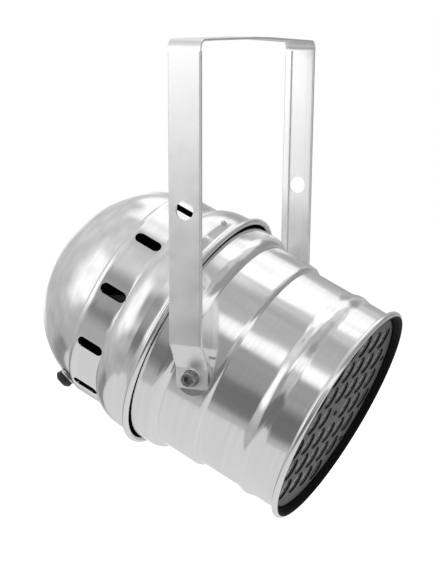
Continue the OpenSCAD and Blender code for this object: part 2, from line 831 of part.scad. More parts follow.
module transformer() {
  color("goldenrod") on_driver_board(-22, 8) {
    translate([-core_w / 2, -core_l / 2, 0]) cube([core_w, core_l, 5]);
    translate([-winding_w / 2, -winding_l / 2, 4]) cube([winding_w, winding_l, core_h - 7]);
    difference() {
      translate([-core_w / 2 - 1, -core_l / 5, 5]) cube([core_w + 2, core_l * 2 / 5, core_h - 5]);
      for (side = [-1, 1])
        translate([side * (winding_w / 2 + 3) - 2.5, -core_l / 5 - 1, 9])
          cube([5, core_l * 2 / 5 + 2, core_h - 13]);
    }
    translate([-core_w / 2, -core_l / 2, core_h - 5]) cube([core_w, core_l, 3]);
  }
}

module capacitors() {
  color("midnightblue") for (i = [0:2])
    on_driver_board(capacitor_y + i * capacitor_pitch, 20) {
      cylinder(h = capacitor_h, d = capacitor_d);
      translate([0, 0, capacitor_h - 1]) cylinder(h = 2, d = capacitor_d - 2);
    }
}

module terminal_block() {
  color("green") on_driver_board(30, -34) difference() {
    translate([-terminal_size[0] / 2, -terminal_size[1] / 2, 0]) cube(terminal_size);
    for (i = [-1:1]) let (y = i * terminal_size[1] / 3) {
      translate([-7, y - 2.5, 3]) cube([6, 5, 4.5]);
      translate([1, y, 9]) cylinder(h = 6, d = 4.5);
    }
  }
}

// Cable gland

module gland_cap() {
  base = gland_washer_t + gland_flange_t;
  color("black") gland_frame() translate([0, 0, base]) difference() {
    rotate_extrude() difference() {
      intersection() {
        square([gland_cap_d / 2, gland_cap_h]);
        translate([0, gland_cap_h - 11]) circle(11);
      }
      square([cable_d / 2 + 0.5, gland_cap_h + 1]);
      square([gland_thread_d / 2 + fit_gap, gland_cap_h - 2.5]);
    }
  }
}

module gland_washer() {
  color("silver") gland_frame()
    translate([0, 0, fit_gap]) ring(gland_cap_d / 2, gland_thread_d / 2 + screw_gap,
      gland_washer_t - fit_gap);
}

module gland_body() {
  color("black") gland_frame() difference() {
    union() {
      translate([0, 0, -wall - gland_inside])
        cylinder(h = wall + gland_inside + gland_washer_t + gland_flange_t + gland_cap_h - 4.5,
          d = gland_thread_d);
      translate([0, 0, gland_washer_t]) hex_bar(gland_hex_w, gland_flange_t);
    }
    translate([0, 0, -wall - gland_inside - 1]) cylinder(h = 40, d = cable_d + 1.6);
  }
}

module gland_seal() {
  color("dimgray") gland_frame() translate([0, 0, gland_washer_t + gland_seal_up])
    ring(cable_d / 2 + 0.8 - fit_gap, cable_d / 2, gland_seal_h);
}

module gland_nut() {
  color("silver") gland_frame() translate([0, 0, -wall - 0.6 - gland_nut_t]) difference() {
    hex_bar(gland_nut_w, gland_nut_t);
    translate([0, 0, -1]) cylinder(h = gland_nut_t + 2, d = gland_thread_d + 2 * fit_gap);
  }
}

// Rear panel and what it carries

module at_panel_screws() {
  for (i = [0:3]) rotate([0, 0, 90 * i]) translate([panel_screw_at, 0, 0]) children();
}

module at_buttons() {
  for (i = [0:3]) translate([button_x, (i - 1.5) * button_pitch, 0]) children();
}

module at_control_posts() {
  for (p = control_posts) translate([p[0], p[1], 0]) children();
}

module at_socket_screws() {
  at_sockets() for (i = [-1, 1]) translate([i * socket_screw[0], i * socket_screw[1], 0])
    children();
}

module rear_panel() {
  color("black") panel_frame() difference() {
    cylinder(h = panel_t, r = panel_r);
    translate([display_x - module_size[0] / 2 - seat_gap, -module_size[1] / 2 - seat_gap, -1])
      cube([module_size[0] + 2 * seat_gap, module_size[1] + 2 * seat_gap, panel_t + 2]);
    translate([display_x - display_size[0] / 2 - seat_gap, -display_size[1] / 2 - seat_gap,
      panel_t / 2])
      cube([display_size[0] + 2 * seat_gap, display_size[1] + 2 * seat_gap, panel_t]);
    at_buttons() translate([0, 0, -1]) cylinder(h = panel_t + 2, d = button_d + 2 * slide_gap);
    at_sockets() translate([0, 0, -1])
      cylinder(h = panel_t + 2, d = socket_bore + 2 * socket_wall + 2 * seat_gap);
    at_panel_screws() translate([0, 0, -1])
      cylinder(h = panel_t + 2, d = m3_d + 2 * screw_gap);
    at_socket_screws() translate([0, 0, -1]) cylinder(h = panel_t + 2, d = m3_d + 2 * fit_gap);
  }
}

module clamp_ring() {
  color("silver") panel_frame() translate([0, 0, ring_z]) difference() {
    ring(ring_r, ring_in_r, ring_t);
    at_panel_screws() translate([0, 0, -1]) cylinder(h = ring_t + 2, d = m3_d + 2 * fit_gap);
  }
}

module panel_screws() {
  color("silver") panel_frame() at_panel_screws() {
    translate([0, 0, panel_t]) cylinder(h = m3_head_h, d = m3_head_d);
    translate([0, 0, ring_z - 1]) cylinder(h = panel_t - ring_z + 2, d = m3_d);
  }
}

module display_window() {
  color("darkred") panel_frame()
    translate([display_x - display_size[0] / 2, -display_size[1] / 2, panel_t / 2 + fit_gap])
      cube([display_size[0], display_size[1], panel_t / 2 - fit_gap]);
}

module display_module() {
  color("dimgray") panel_frame()
    translate([display_x - module_size[0] / 2, -module_size[1] / 2, control_z])
      cube([module_size[0], module_size[1], panel_t / 2 - control_z]);
}

module control_board() {
  color("darkgreen") panel_frame() translate([control_x, 0, control_z - control_t]) difference() {
    translate([-control_size[0] / 2, -control_size[1] / 2, 0])
      cube([control_size[0], control_size[1], control_t]);
    translate([-control_x, 0, -1]) at_control_posts()
      cylinder(h = control_t + 2, d = m3_d + 2 * screw_gap);
  }
}

module control_standoffs() {
  color("silver") panel_frame() at_control_posts() translate([0, 0, control_z]) difference() {
    cylinder(h = -control_z, d = control_post_d);
    translate([0, 0, -1]) cylinder(h = 7, d = m3_d + 2 * fit_gap);
  }
}

module control_screws() {
  color("silver") panel_frame() at_control_posts() {
    translate([0, 0, control_z - control_t - m3_head_h]) cylinder(h = m3_head_h, d = m3_head_d);
    translate([0, 0, control_z - control_t - 1]) cylinder(h = 6, d = m3_d);
  }
}

module tact_switches() {
  color("dimgray") panel_frame() at_buttons() translate([0, 0, control_z]) {
    translate([-switch_w / 2, -switch_w / 2, 0]) cube([switch_w, switch_w, switch_h]);
    cylinder(h = switch_h + plunger_h, d = plunger_d);
  }
}

module push_button(i) {
  color("gainsboro") panel_frame() translate([button_x, (i - 1.5) * button_pitch, 0]) {
    translate([0, 0, button_foot]) cylinder(h = -button_foot - button_collar, d = 4);
    translate([0, 0, -button_collar - 0.1]) cylinder(h = button_collar, d = button_d + 1.6);
    translate([0, 0, -button_collar - 0.1]) rotate_extrude() {
      square([button_d / 2 - 0.8, button_top + button_collar + 0.1]);
      square([button_d / 2, button_top + button_collar + 0.1 - 0.8]);
      translate([button_d / 2 - 0.8, button_top + button_collar + 0.1 - 0.8])
        circle(0.8, $fn = 32);
    }
  }
}

module button_menu() { push_button(3); }
module button_down() { push_button(2); }
module button_up() { push_button(1); }
module button_enter() { push_button(0); }

// Shell of a data socket: a flange on the panel and a barrel behind it
module socket_shell() {
  difference() {
    union() {
      translate([-socket_flange[0] / 2, -socket_flange[1] / 2, panel_t]) cube(socket_flange);
      translate([0, 0, socket_back])
        cylinder(h = panel_t + 1 - socket_back, d = socket_bore + 2 * socket_wall);
    }
    translate([0, 0, socket_floor]) cylinder(h = socket_depth + 1, d = socket_bore);
    for (i = [-1, 1]) translate([i * socket_screw[0], i * socket_screw[1], panel_t - 1])
      cylinder(h = socket_flange[2] + 2, d = m3_d + 2 * screw_gap);
  }
}

module data_in_socket() {
  color("dimgray") panel_frame() translate([socket_x, socket_y, 0]) socket_shell();
}

module data_in_pins() {
  color("silver") panel_frame() translate([socket_x, socket_y, socket_floor])
    for (a = [90, 180, 270]) rotate([0, 0, a]) translate([pin_r, 0, 0])
      cylinder(h = pin_top - socket_floor, d = pin_d);
}

module data_out_socket() {
  color("dimgray") panel_frame() translate([socket_x, -socket_y, 0]) difference() {
    socket_shell();
    translate([latch_x - latch_size[0] / 2 - slide_gap, -latch_size[1] / 2 - slide_gap, panel_t])
      cube([latch_size[0] + 2 * slide_gap, latch_size[1] + 2 * slide_gap, 5]);
  }
}

module data_out_insert() {
  color("black") panel_frame() translate([socket_x, -socket_y, socket_floor]) difference() {
    cylinder(h = socket_depth - 0.5, d = insert_d);
    for (a = [90, 180, 270]) rotate([0, 0, a]) translate([pin_r, 0, 3])
      cylinder(h = socket_depth, d = pin_d + 0.4);
  }
}

module data_out_latch() {
  color("silver") panel_frame() translate([socket_x + latch_x, -socket_y, latch_rest])
    translate([-latch_size[0] / 2, -latch_size[1] / 2, 0])
      cube([latch_size[0], latch_size[1], socket_face + latch_travel + 0.6 - latch_rest]);
}

module socket_screws() {
  color("silver") panel_frame() at_socket_screws() {
    translate([0, 0, socket_face]) cylinder(h = m3_head_h, d = m3_head_d - 0.5);
    translate([0, 0, -2]) cylinder(h = socket_face + 3, d = m3_d);
  }
}

yoke();
pivot_bolts();
bolt_washers();
friction_washers();
saddle_spacers();
inner_spacers();
pivot_nuts();
front_tube();
rear_shell();
shell_screws();
shell_nuts();
front_gasket();
lens_plate();
plate_screws();
plate_posts();
lenses();
lens_holders();
led_emitters();
led_board();
heat_sink();
side_brackets();
sink_screws();
driver_plate();
driver_plate_screws();
driver_standoffs();
driver_board();
board_screws();
transformer();
capacitors();
terminal_block();
gland_cap();
gland_washer();
gland_body();
gland_seal();
gland_nut();
rear_panel();
clamp_ring();
panel_screws();
display_window();
display_module();
control_board();
control_standoffs();
control_screws();
tact_switches();
button_menu();
button_down();
button_up();
button_enter();
data_in_socket();
data_in_pins();
data_out_socket();
data_out_insert();
data_out_latch();
socket_screws();
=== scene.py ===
# Scene for the LED par can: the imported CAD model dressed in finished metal, in a pale studio.
# Outlines of turned parts are in millimetres as (distance from the axis, place along it).
import json
import math

import bmesh
import bpy
from mathutils import Matrix, Vector


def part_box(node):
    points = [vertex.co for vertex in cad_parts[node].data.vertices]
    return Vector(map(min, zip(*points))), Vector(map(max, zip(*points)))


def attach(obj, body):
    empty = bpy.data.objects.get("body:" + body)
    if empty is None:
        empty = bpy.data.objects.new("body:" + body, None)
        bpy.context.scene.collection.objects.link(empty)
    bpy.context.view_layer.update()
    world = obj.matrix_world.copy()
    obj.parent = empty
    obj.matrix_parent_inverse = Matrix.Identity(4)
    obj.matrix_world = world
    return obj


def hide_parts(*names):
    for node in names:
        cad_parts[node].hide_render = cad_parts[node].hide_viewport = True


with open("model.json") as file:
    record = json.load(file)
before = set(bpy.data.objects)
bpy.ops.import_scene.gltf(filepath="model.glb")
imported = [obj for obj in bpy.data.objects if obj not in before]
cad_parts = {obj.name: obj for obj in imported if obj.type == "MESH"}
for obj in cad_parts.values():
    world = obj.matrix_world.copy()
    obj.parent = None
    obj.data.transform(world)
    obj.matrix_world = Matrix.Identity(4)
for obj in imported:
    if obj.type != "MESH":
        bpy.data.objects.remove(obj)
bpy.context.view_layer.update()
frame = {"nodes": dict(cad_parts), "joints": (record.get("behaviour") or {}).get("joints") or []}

MM = 0.001
MERGE = 2e-6
nodes = frame["nodes"]


# Places taken from the frame

def middle(node):
    low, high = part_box(node)
    return (low + high) / 2


def frame_matrix(origin, x, y, z):
    matrix = Matrix((x, y, z)).transposed().to_4x4()
    matrix.translation = origin
    return matrix


def joint(name):
    return next(j for j in frame["joints"] if j["name"] == name)


PIVOT = Vector(joint("can_tilt")["pos_m"])
FORWARD = (middle("lens_plate") - middle("led_board")).normalized()
SIDEWAYS = Vector((0, 1, 0))
DOWN = Vector((0, 0, -1))
UNDERSIDE = SIDEWAYS.cross(FORWARD)
BESIDE_PIVOT = middle("lens_plate") + FORWARD * FORWARD.dot(PIVOT - middle("lens_plate"))
CAN = frame_matrix(BESIDE_PIVOT, UNDERSIDE, SIDEWAYS, FORWARD)
PANEL_OUT = (middle("rear_panel") - middle("clamp_ring")).normalized()


def along_can(node):
    """Reach of a CAD node in the can's frame: widest radius, rearmost and foremost place."""
    back = CAN.inverted()
    points = [back @ v.co for v in nodes[node].data.vertices]
    places = [p.z / MM for p in points]
    return max(math.hypot(p.x, p.y) for p in points) / MM, min(places), max(places)


def solids_of(node):
    """The separate solids of a CAD node, each as a list of its points."""
    mesh = nodes[node].data
    bm = bmesh.new()
    bm.from_mesh(mesh)
    bmesh.ops.remove_doubles(bm, verts=bm.verts, dist=1e-6)
    left = set(bm.verts)
    found = []
    while left:
        stack = [left.pop()]
        points = []
        while stack:
            vert = stack.pop()
            points.append(vert.co.copy())
            for edge in vert.link_edges:
                other = edge.other_vert(vert)
                if other in left:
                    left.discard(other)
                    stack.append(other)
        found.append(points)
    bm.free()
    found.sort(key=lambda points: tuple(round(value, 4) for value in sum(points, Vector()) / len(points)))
    return found


# Sizes in millimetres: those that the frame doesn't give are the CAD source's own

# Tube: its wall, its rounded steps at the neck and the front, and its soft ridge
WALL = 1.5
NECK_STEP = 6.7
NECK_STEP_AT = -31.0
NECK_STEP_L = 11.0
FRONT_STEP = 3.8
FRONT_STEP_AT = 16.0
FRONT_STEP_L = 5.0
RIDGE_RISE = 2.0
RIDGE_AT = 72.0
RIDGE_HALF_L = 11.0
NECK_R, NECK_REAR, RIM_FRONT = along_can("front_tube")
TUBE_R = NECK_R - NECK_STEP
FRONT_R = TUBE_R - FRONT_STEP

# Rolled rims: their radius, how far their middle lies outside the wall, and the angle they end at
RIM_R = 3.2
RIM_UP = 2.8
RIM_END = 510.0
RIM_STEPS = 28
RIM_BRIGHT_STEPS = 22
RIM_INNER_BACK = 3.0
SHELL_BEAD_R = 3.0
SHELL_BEAD_UP = 2.5
SHELL_BEAD_WALL_UP = 1.3
SHELL_OUT, APEX, SHELL_FRONT = along_can("rear_shell")
RIM = (FRONT_R + RIM_UP, RIM_FRONT - RIM_R)
SHELL_BEAD = (SHELL_OUT - SHELL_BEAD_R, SHELL_FRONT - SHELL_BEAD_R)

# Shell: its collar, the band with the slots, the shoulder and the dome
COLLAR_STEP = 8.0
COLLAR_EASE = 0.4
COLLAR_REAR_TURN = 36.0
COLLAR_FRONT_TURN = 4.0
COLLAR_STEPS = 16
COLLAR_REAR = -70.0
COLLAR_STRAIGHT = COLLAR_REAR + 6.0
FLARE = 0.9
FLARE_L = 6.0
FLARE_BACK = 8.0
FLARE_STEPS = 6
BAND_FRONT = -90.5
SHOULDER_L = 6.5
SHOULDER_STEPS = 12
DOME_STEP = 2.3
DOME_AT = 114.0
DOME_EDGE = -125.0
DOME_STEPS = 56
COLLAR_R = SHELL_BEAD[0] - SHELL_BEAD_UP
BAND_R = COLLAR_R - COLLAR_STEP
DOME_R = BAND_R - DOME_STEP
DOME_L = -DOME_AT - APEX

# Slots, and the cell of the band round each one
SLOT_COUNT = 12
SLOT_TURN = 13.7
SLOT_AT = -104.2
SLOT_L = 27.2
SLOT_W = 10.0
SLOT_CELL_REAR = DOME_EDGE + SHOULDER_L
CELL_TURN = 360 / SLOT_COUNT
CELL_STEPS = 24
CELL_ROWS = 12
CELL_SHARES = (0.0, 0.12, 0.35, 0.65, 1.0)
TURN_STEPS = SLOT_COUNT * CELL_STEPS


# Outline helpers

def unit(v):
    length = math.hypot(*v)
    return v[0] / length, v[1] / length


def beside(path, distance):
    """The path moved to its left by the distance, with mitred corners."""
    moved = []
    for i, (x, y) in enumerate(path):
        a = path[max(i, 1) - 1]
        b = path[max(i, 1)]
        c = path[min(i, len(path) - 2)]
        d = path[min(i, len(path) - 2) + 1]
        before = unit((b[0] - a[0], b[1] - a[1]))
        after = unit((d[0] - c[0], d[1] - c[1]))
        nx, ny = unit((-before[1] - after[1], before[0] + after[0]))
        scale = distance / (-nx * before[1] + ny * before[0])
        moved.append((x + nx * scale, y + ny * scale))
    return moved


def arc(centre, radius, start, end, steps):
    angles = [math.radians(start + (end - start) * i / steps) for i in range(steps + 1)]
    return [(centre[0] + radius * math.cos(a), centre[1] + radius * math.sin(a)) for a in angles]


def held(path, gap=0.4, longest=3.0):
    """Adds points close to both ends of long straight stretches, so that shading stays on curves."""
    kept = [path[0]]
    for (x0, y0), (x1, y1) in zip(path, path[1:]):
        length = math.hypot(x1 - x0, y1 - y0)
        if length > longest:
            share = gap / length
            kept.append((x0 + (x1 - x0) * share, y0 + (y1 - y0) * share))
            kept.append((x1 - (x1 - x0) * share, y1 - (y1 - y0) * share))
        kept.append((x1, y1))
    return kept


def rolled_edge(bead, radius, wall_r):
    """Section of a rolled rim, from where the wall meets it round to its inner side."""
    start = 180 + math.degrees(math.acos((bead[0] - wall_r) / radius))
    return arc(bead, radius, start, RIM_END, RIM_STEPS)


def quarter(r, rise, place, length, steps=14):
    """A rounded step down to the radius r: a quarter of an ellipse from its top at the place."""
    turns = [math.radians(90 * i / steps) for i in range(steps + 1)]
    return [(r + rise * math.cos(a), place + length * math.sin(a)) for a in turns]


def soft_ridge(r, steps=24):
    """A low wave of the wall out from the radius r and back."""
    turns = [math.radians(-180 + 360 * i / steps) for i in range(steps + 1)]
    return [(r + RIDGE_RISE * (0.5 + 0.5 * math.cos(a)), RIDGE_AT + RIDGE_HALF_L * a / math.pi)
            for a in turns]


# Mesh helpers

def ring(bm, r, place, steps, first_turn=0.0):
    if r < 1e-6:
        return [bm.verts.new((0, 0, place * MM))] * steps
    turns = [math.radians(first_turn + 360 * i / steps) for i in range(steps)]
    return [bm.verts.new((r * MM * math.cos(a), r * MM * math.sin(a), place * MM)) for a in turns]


def skin(bm, rows, closed=True, shade=0):
    """Joins neighbouring rows of points with faces."""
    for low, high in zip(rows, rows[1:]):
        count = len(low) if closed else len(low) - 1
        for i in range(count):
            corners = [low[i], low[(i + 1) % len(low)], high[(i + 1) % len(high)], high[i]]
            distinct = list(dict.fromkeys(corners))
            if len(distinct) > 2:
                face = bm.faces.new(distinct)
                face.material_index = shade


def lathe(bm, path, steps, first_turn=0.0, shade=0):
    skin(bm, [ring(bm, r, place, steps, first_turn) for r, place in path], shade=shade)


def close_up(bm, sharp=38.0):
    """Merges doubled points, turns faces outwards and keeps edges past the given angle sharp."""
    bmesh.ops.remove_doubles(bm, verts=bm.verts, dist=MERGE)
    bmesh.ops.dissolve_degenerate(bm, edges=bm.edges, dist=1e-7)
    bmesh.ops.recalc_face_normals(bm, faces=bm.faces)
    for face in bm.faces:
        face.smooth = True
    for edge in bm.edges:
        if len(edge.link_faces) == 2 and edge.calc_face_angle(0) > math.radians(sharp):
            edge.smooth = False


def piece(name, bm, body, materials, replaced, matrix=Matrix.Identity(4)):
    """Makes an object that rides on a body in place of CAD nodes."""
    bm.transform(matrix)
    mesh = bpy.data.meshes.new(name)
    bm.to_mesh(mesh)
    bm.free()
    made = bpy.data.objects.new(name, mesh)
    bpy.context.scene.collection.objects.link(made)
    for material in materials:
        mesh.materials.append(material)
    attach(made, body)
    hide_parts(replaced)
    return made


# Material helpers

def new_material(name):
    material = bpy.data.materials.new(name)
    material.use_nodes = True
    tree = material.node_tree
    return material, tree, tree.nodes["Principled BSDF"]


def pattern(tree, scale, stretch=(1, 1, 1), detail=3.0, around_can=False):
    """A noise pattern in cycles per metre, over the part's coordinates or over the can's own."""
    coordinates = tree.nodes.new("ShaderNodeTexCoord").outputs["Object"]
    if around_can:
        turned = tree.nodes.new("ShaderNodeMapping")
        turned.vector_type = "TEXTURE"
        turned.inputs["Location"].default_value = CAN.translation
        turned.inputs["Rotation"].default_value = CAN.to_euler("XYZ")
        tree.links.new(coordinates, turned.inputs["Vector"])
        coordinates = turned.outputs["Vector"]
    mapping = tree.nodes.new("ShaderNodeMapping")
    mapping.inputs["Scale"].default_value = stretch
    noise = tree.nodes.new("ShaderNodeTexNoise")
    noise.inputs["Scale"].default_value = scale
    noise.inputs["Detail"].default_value = detail
    tree.links.new(coordinates, mapping.inputs["Vector"])
    tree.links.new(mapping.outputs["Vector"], noise.inputs["Vector"])
    return noise.outputs["Fac"]


def spread(tree, value, low, high, start=0.3, end=0.7):
    """The pattern's values between start and end spread over low to high."""
    node = tree.nodes.new("ShaderNodeMapRange")
    node.inputs["From Min"].default_value = start
    node.inputs["From Max"].default_value = end
    node.inputs["To Min"].default_value = low
    node.inputs["To Max"].default_value = high
    tree.links.new(value, node.inputs["Value"])
    return node.outputs["Result"]


def tint(tree, value, dark, pale, start=0.3, end=0.7):
    ramp = tree.nodes.new("ShaderNodeValToRGB")
    ramp.color_ramp.elements[0].position = start
    ramp.color_ramp.elements[0].color = (*dark, 1)
    ramp.color_ramp.elements[1].position = end
    ramp.color_ramp.elements[1].color = (*pale, 1)
    tree.links.new(value, ramp.inputs["Fac"])
    return ramp.outputs["Color"]


def relief(tree, height, distance, under=None):
    """Bumps of the given height in metres, over another relief where one is given."""
    bump = tree.nodes.new("ShaderNodeBump")
    bump.inputs["Strength"].default_value = 1.0
    bump.inputs["Distance"].default_value = distance
    tree.links.new(height, bump.inputs["Height"])
    if under is not None:
        tree.links.new(under, bump.inputs["Normal"])
    return bump.outputs["Normal"]


def calculate(tree, operation, *values):
    """A Math node; numbers are set on its sockets and outputs are linked to them."""
    node = tree.nodes.new("ShaderNodeMath")
    node.operation = operation
    for socket, value in zip(node.inputs, values):
        if isinstance(value, (int, float)):
            socket.default_value = value
        else:
            tree.links.new(value, socket)
    return node.outputs["Value"]


def along(tree, direction, axis):
    node = tree.nodes.new("ShaderNodeVectorMath")
    node.operation = "DOT_PRODUCT"
    node.inputs[1].default_value = axis
    tree.links.new(direction, node.inputs[0])
    return node.outputs["Value"]


def grained(name, colours, roughness, metallic, grain, depth, smudge=35.0, stretch=(1, 1, 1)):
    """Metal or plastic with a grain in its relief and soft smudges in its colour and gloss."""
    material, tree, shader = new_material(name)
    shader.inputs["Metallic"].default_value = metallic
    lines = pattern(tree, grain, stretch, 2.0)
    clouds = pattern(tree, smudge)
    tree.links.new(tint(tree, clouds, *colours), shader.inputs["Base Color"])
    tree.links.new(spread(tree, clouds, *roughness), shader.inputs["Roughness"])
    tree.links.new(relief(tree, lines, depth), shader.inputs["Normal"])
    return material


def grey(value):
    return value, value, value


def greys(dark, pale):
    return grey(dark), grey(pale)


METAL = 1.0
NOT_METAL = 0.0
WAVE_DEPTH = 5e-4
TURNED_DEPTH = 4e-6


def polished_metal():
    """Spun metal: gentle waves, fine turned lines and streaks in its colour and gloss."""
    material, tree, shader = new_material("polished_can")
    shader.inputs["Metallic"].default_value = METAL
    lines = pattern(tree, 1.0, (30, 30, 1600), 2.0, True)
    streaks = pattern(tree, 1.0, (9, 9, 240), 3.0, True)
    waves = pattern(tree, 18.0, detail=1.0)
    tree.links.new(tint(tree, streaks, *greys(0.88, 0.94)), shader.inputs["Base Color"])
    tree.links.new(spread(tree, streaks, 0.16, 0.09), shader.inputs["Roughness"])
    wavy = relief(tree, waves, WAVE_DEPTH)
    tree.links.new(relief(tree, lines, TURNED_DEPTH, wavy), shader.inputs["Normal"])
    return material


polished = polished_metal()
satin = grained("satin_yoke", greys(0.88, 0.95), (0.36, 0.42), METAL, 1.0, 6e-6, 45.0, (2600, 9, 9))
bright = grained("bright_steel", greys(0.62, 0.78), (0.16, 0.30), METAL, 900.0, 2e-6, 300.0)
knurled = grained("screw_steel", greys(0.30, 0.50), (0.22, 0.36), METAL, 700.0, 4e-6, 400.0)
cast = grained("cast_aluminium", greys(0.55, 0.70), (0.38, 0.55), METAL, 1500.0, 1e-5, 120.0)
fibre = grained("washer_fibre", greys(0.30, 0.42), (0.45, 0.62), 0.6, 1800.0, 1e-5, 260.0)
blackened = grained("blackened_steel", greys(0.02, 0.05), (0.14, 0.24), 0.6, 900.0, 2e-6, 300.0)
# Dark grey for the heat sink, brackets and driver plate inside the can: painted shade for the dark seen
# through the slots.
inside_parts_shade = grained("inside_parts_shade_dark", greys(0.02, 0.035), (0.45, 0.60), 0.3, 1500.0, 1e-5, 120.0)
rubber = grained("black_rubber", greys(0.004, 0.009), (0.55, 0.75), NOT_METAL, 2200.0, 2e-5, 160.0)
# Near-black for the inner faces of the tube and the shell: painted shade for the dark inside of the can.
inside_shade_black = grained("inside_shade_black", greys(0.003, 0.007), (0.5, 0.7), NOT_METAL, 1500.0, 2e-5, 90.0)
plastic = grained("black_plastic", greys(0.012, 0.028), (0.32, 0.48), NOT_METAL, 2600.0, 8e-6, 130.0)
panel_black = grained("panel_black", greys(0.018, 0.034), (0.42, 0.58), NOT_METAL, 1900.0, 2.2e-5, 90.0)
button = grained("button_grey", greys(0.28, 0.36), (0.4, 0.55), NOT_METAL, 1500.0, 2e-5, 260.0)
board_white = grained("board_white", greys(0.62, 0.74), (0.35, 0.5), NOT_METAL, 300.0, 1e-5, 120.0)
board_green = grained(
    "board_green", ((0.01, 0.06, 0.03), (0.02, 0.11, 0.05)), (0.3, 0.5), NOT_METAL, 300.0, 1e-5, 180.0)
copper = grained(
    "copper_winding", ((0.42, 0.17, 0.07), (0.68, 0.31, 0.14)), (0.25, 0.4), METAL, 1.0, 8e-5,
    stretch=(1, 2400, 1))
sleeve = grained(
    "capacitor_sleeve", ((0.01, 0.015, 0.05), (0.02, 0.03, 0.09)), (0.3, 0.45), NOT_METAL, 200.0, 5e-6)
terminal = grained(
    "terminal_green", ((0.02, 0.20, 0.06), (0.04, 0.30, 0.10)), (0.35, 0.5), NOT_METAL, 400.0, 1e-5)
phosphor = grained(
    "led_phosphor", ((0.75, 0.55, 0.08), (0.85, 0.68, 0.16)), (0.4, 0.6), NOT_METAL, 900.0, 2e-5, 500.0)
window = grained(
    "window_red", ((0.05, 0.002, 0.002), (0.09, 0.004, 0.004)), (0.06, 0.12), NOT_METAL, 60.0, 1e-6)


def without_gloss(*materials):
    """Deep black: nearly all of the surface's own gloss is taken away."""
    for material in materials:
        material.node_tree.nodes["Principled BSDF"].inputs["Specular IOR Level"].default_value = 0.10


without_gloss(rubber, inside_shade_black)


def plate_paint():
    """Grey paint on the plate's faces, with painted shade on the walls of its holes."""
    material, tree, shader = new_material("plate_paint")
    coordinates = tree.nodes.new("ShaderNodeTexCoord")
    speck = pattern(tree, 1400.0, detail=2.0)
    paint = tint(tree, speck, *greys(0.085, 0.125))
    # Painted shade: the walls of the holes are darkened by how far they turn from facing forward.
    wall = tint(tree, along(tree, coordinates.outputs["Normal"], FORWARD), *greys(0.0, 1.0), 0.55, 0.75)
    mixed = tree.nodes.new("ShaderNodeMix")
    mixed.data_type = "RGBA"
    mixed.blend_type = "MULTIPLY"
    mixed.inputs["Factor"].default_value = 0.94
    tree.links.new(paint, mixed.inputs["A"])
    tree.links.new(wall, mixed.inputs["B"])
    tree.links.new(mixed.outputs["Result"], shader.inputs["Base Color"])
    tree.links.new(spread(tree, speck, 0.42, 0.58), shader.inputs["Roughness"])
    tree.links.new(relief(tree, speck, 1.5e-5), shader.inputs["Normal"])
    return material


def lens_plastic():
    """Clear moulded plastic, a little clouded."""
    material, tree, shader = new_material("lens_clear")
    clouds = pattern(tree, 260.0)
    tree.links.new(tint(tree, clouds, *greys(0.30, 0.40)), shader.inputs["Base Color"])
    tree.links.new(spread(tree, clouds, 0.06, 0.12), shader.inputs["Roughness"])
    shader.inputs["Transmission Weight"].default_value = 0.55
    shader.inputs["IOR"].default_value = 1.49
    return material


paint = plate_paint()
clear = lens_plastic()

FINISHES = {
    "bolt_washers": bright, "friction_washers": fibre, "saddle_spacers": cast,
    "inner_spacers": cast, "pivot_nuts": bright, "shell_nuts": bright, "front_gasket": rubber,
    "lens_plate": paint, "plate_posts": bright, "lens_holders": plastic,
    "led_emitters": phosphor, "led_board": board_white, "heat_sink": inside_parts_shade,
    "side_brackets": inside_parts_shade, "sink_screws": bright, "driver_plate": inside_parts_shade,
    "driver_plate_screws": bright, "driver_standoffs": bright, "driver_board": board_green,
    "board_screws": bright, "transformer": copper, "capacitors": sleeve,
    "terminal_block": terminal, "gland_cap": plastic, "gland_washer": bright,
    "gland_body": plastic, "gland_seal": rubber, "gland_nut": plastic,
    "rear_panel": panel_black, "clamp_ring": cast, "display_window": window,
    "display_module": plastic, "control_board": board_green, "control_standoffs": bright,
    "control_screws": bright, "tact_switches": plastic, "button_menu": button,
    "button_down": button, "button_up": button, "button_enter": button,
    "data_in_socket": knurled, "data_in_pins": bright, "data_out_socket": knurled,
    "data_out_insert": plastic, "data_out_latch": bright,
}
for node, finish in FINISHES.items():
    mesh = nodes[node].data
    for index in range(len(mesh.materials)):
        mesh.materials[index] = finish


# Front tube

def make_front_tube():
    bm = bmesh.new()
    wall_path = [(NECK_R, NECK_REAR)]
    wall_path += quarter(TUBE_R, NECK_STEP, NECK_STEP_AT, NECK_STEP_L)
    wall_path += quarter(FRONT_R, FRONT_STEP, FRONT_STEP_AT, FRONT_STEP_L)
    wall_path += soft_ridge(FRONT_R)
    inner = beside(wall_path, WALL) + [(FRONT_R - WALL, RIM[1] - RIM_INNER_BACK)]
    rim = rolled_edge(RIM, RIM_R, FRONT_R)
    lathe(bm, held(wall_path + rim[:1]), TURN_STEPS)
    lathe(bm, rim[:RIM_BRIGHT_STEPS + 1], TURN_STEPS)
    # The inner side of the rolled rim and the tube's inner wall take the near-black: painted shade inside
    # the can.
    lathe(bm, rim[RIM_BRIGHT_STEPS:], TURN_STEPS, shade=1)
    lathe(bm, held([rim[-1]] + inner[::-1]), TURN_STEPS, shade=1)
    lathe(bm, [inner[0], wall_path[0]], TURN_STEPS)
    close_up(bm)
    piece("tube_skin", bm, "can", [polished, inside_shade_black], "front_tube", CAN)


# Rear shell with its cooling slots

def dome_path():
    """The dome from its apex, with the rounded shoulder up to the band."""
    end = math.acos((-DOME_EDGE - DOME_AT) / DOME_L)
    turns = [end * i / DOME_STEPS for i in range(DOME_STEPS + 1)]
    path = [(DOME_R * math.sin(a), -DOME_AT - DOME_L * math.cos(a)) for a in turns]
    edge = path[-1][0]
    for i in range(1, SHOULDER_STEPS + 1):
        a = math.radians(90 * i / SHOULDER_STEPS)
        path.append((edge + (BAND_R - edge) * math.sin(a), DOME_EDGE + SHOULDER_L * (1 - math.cos(a))))
    return path


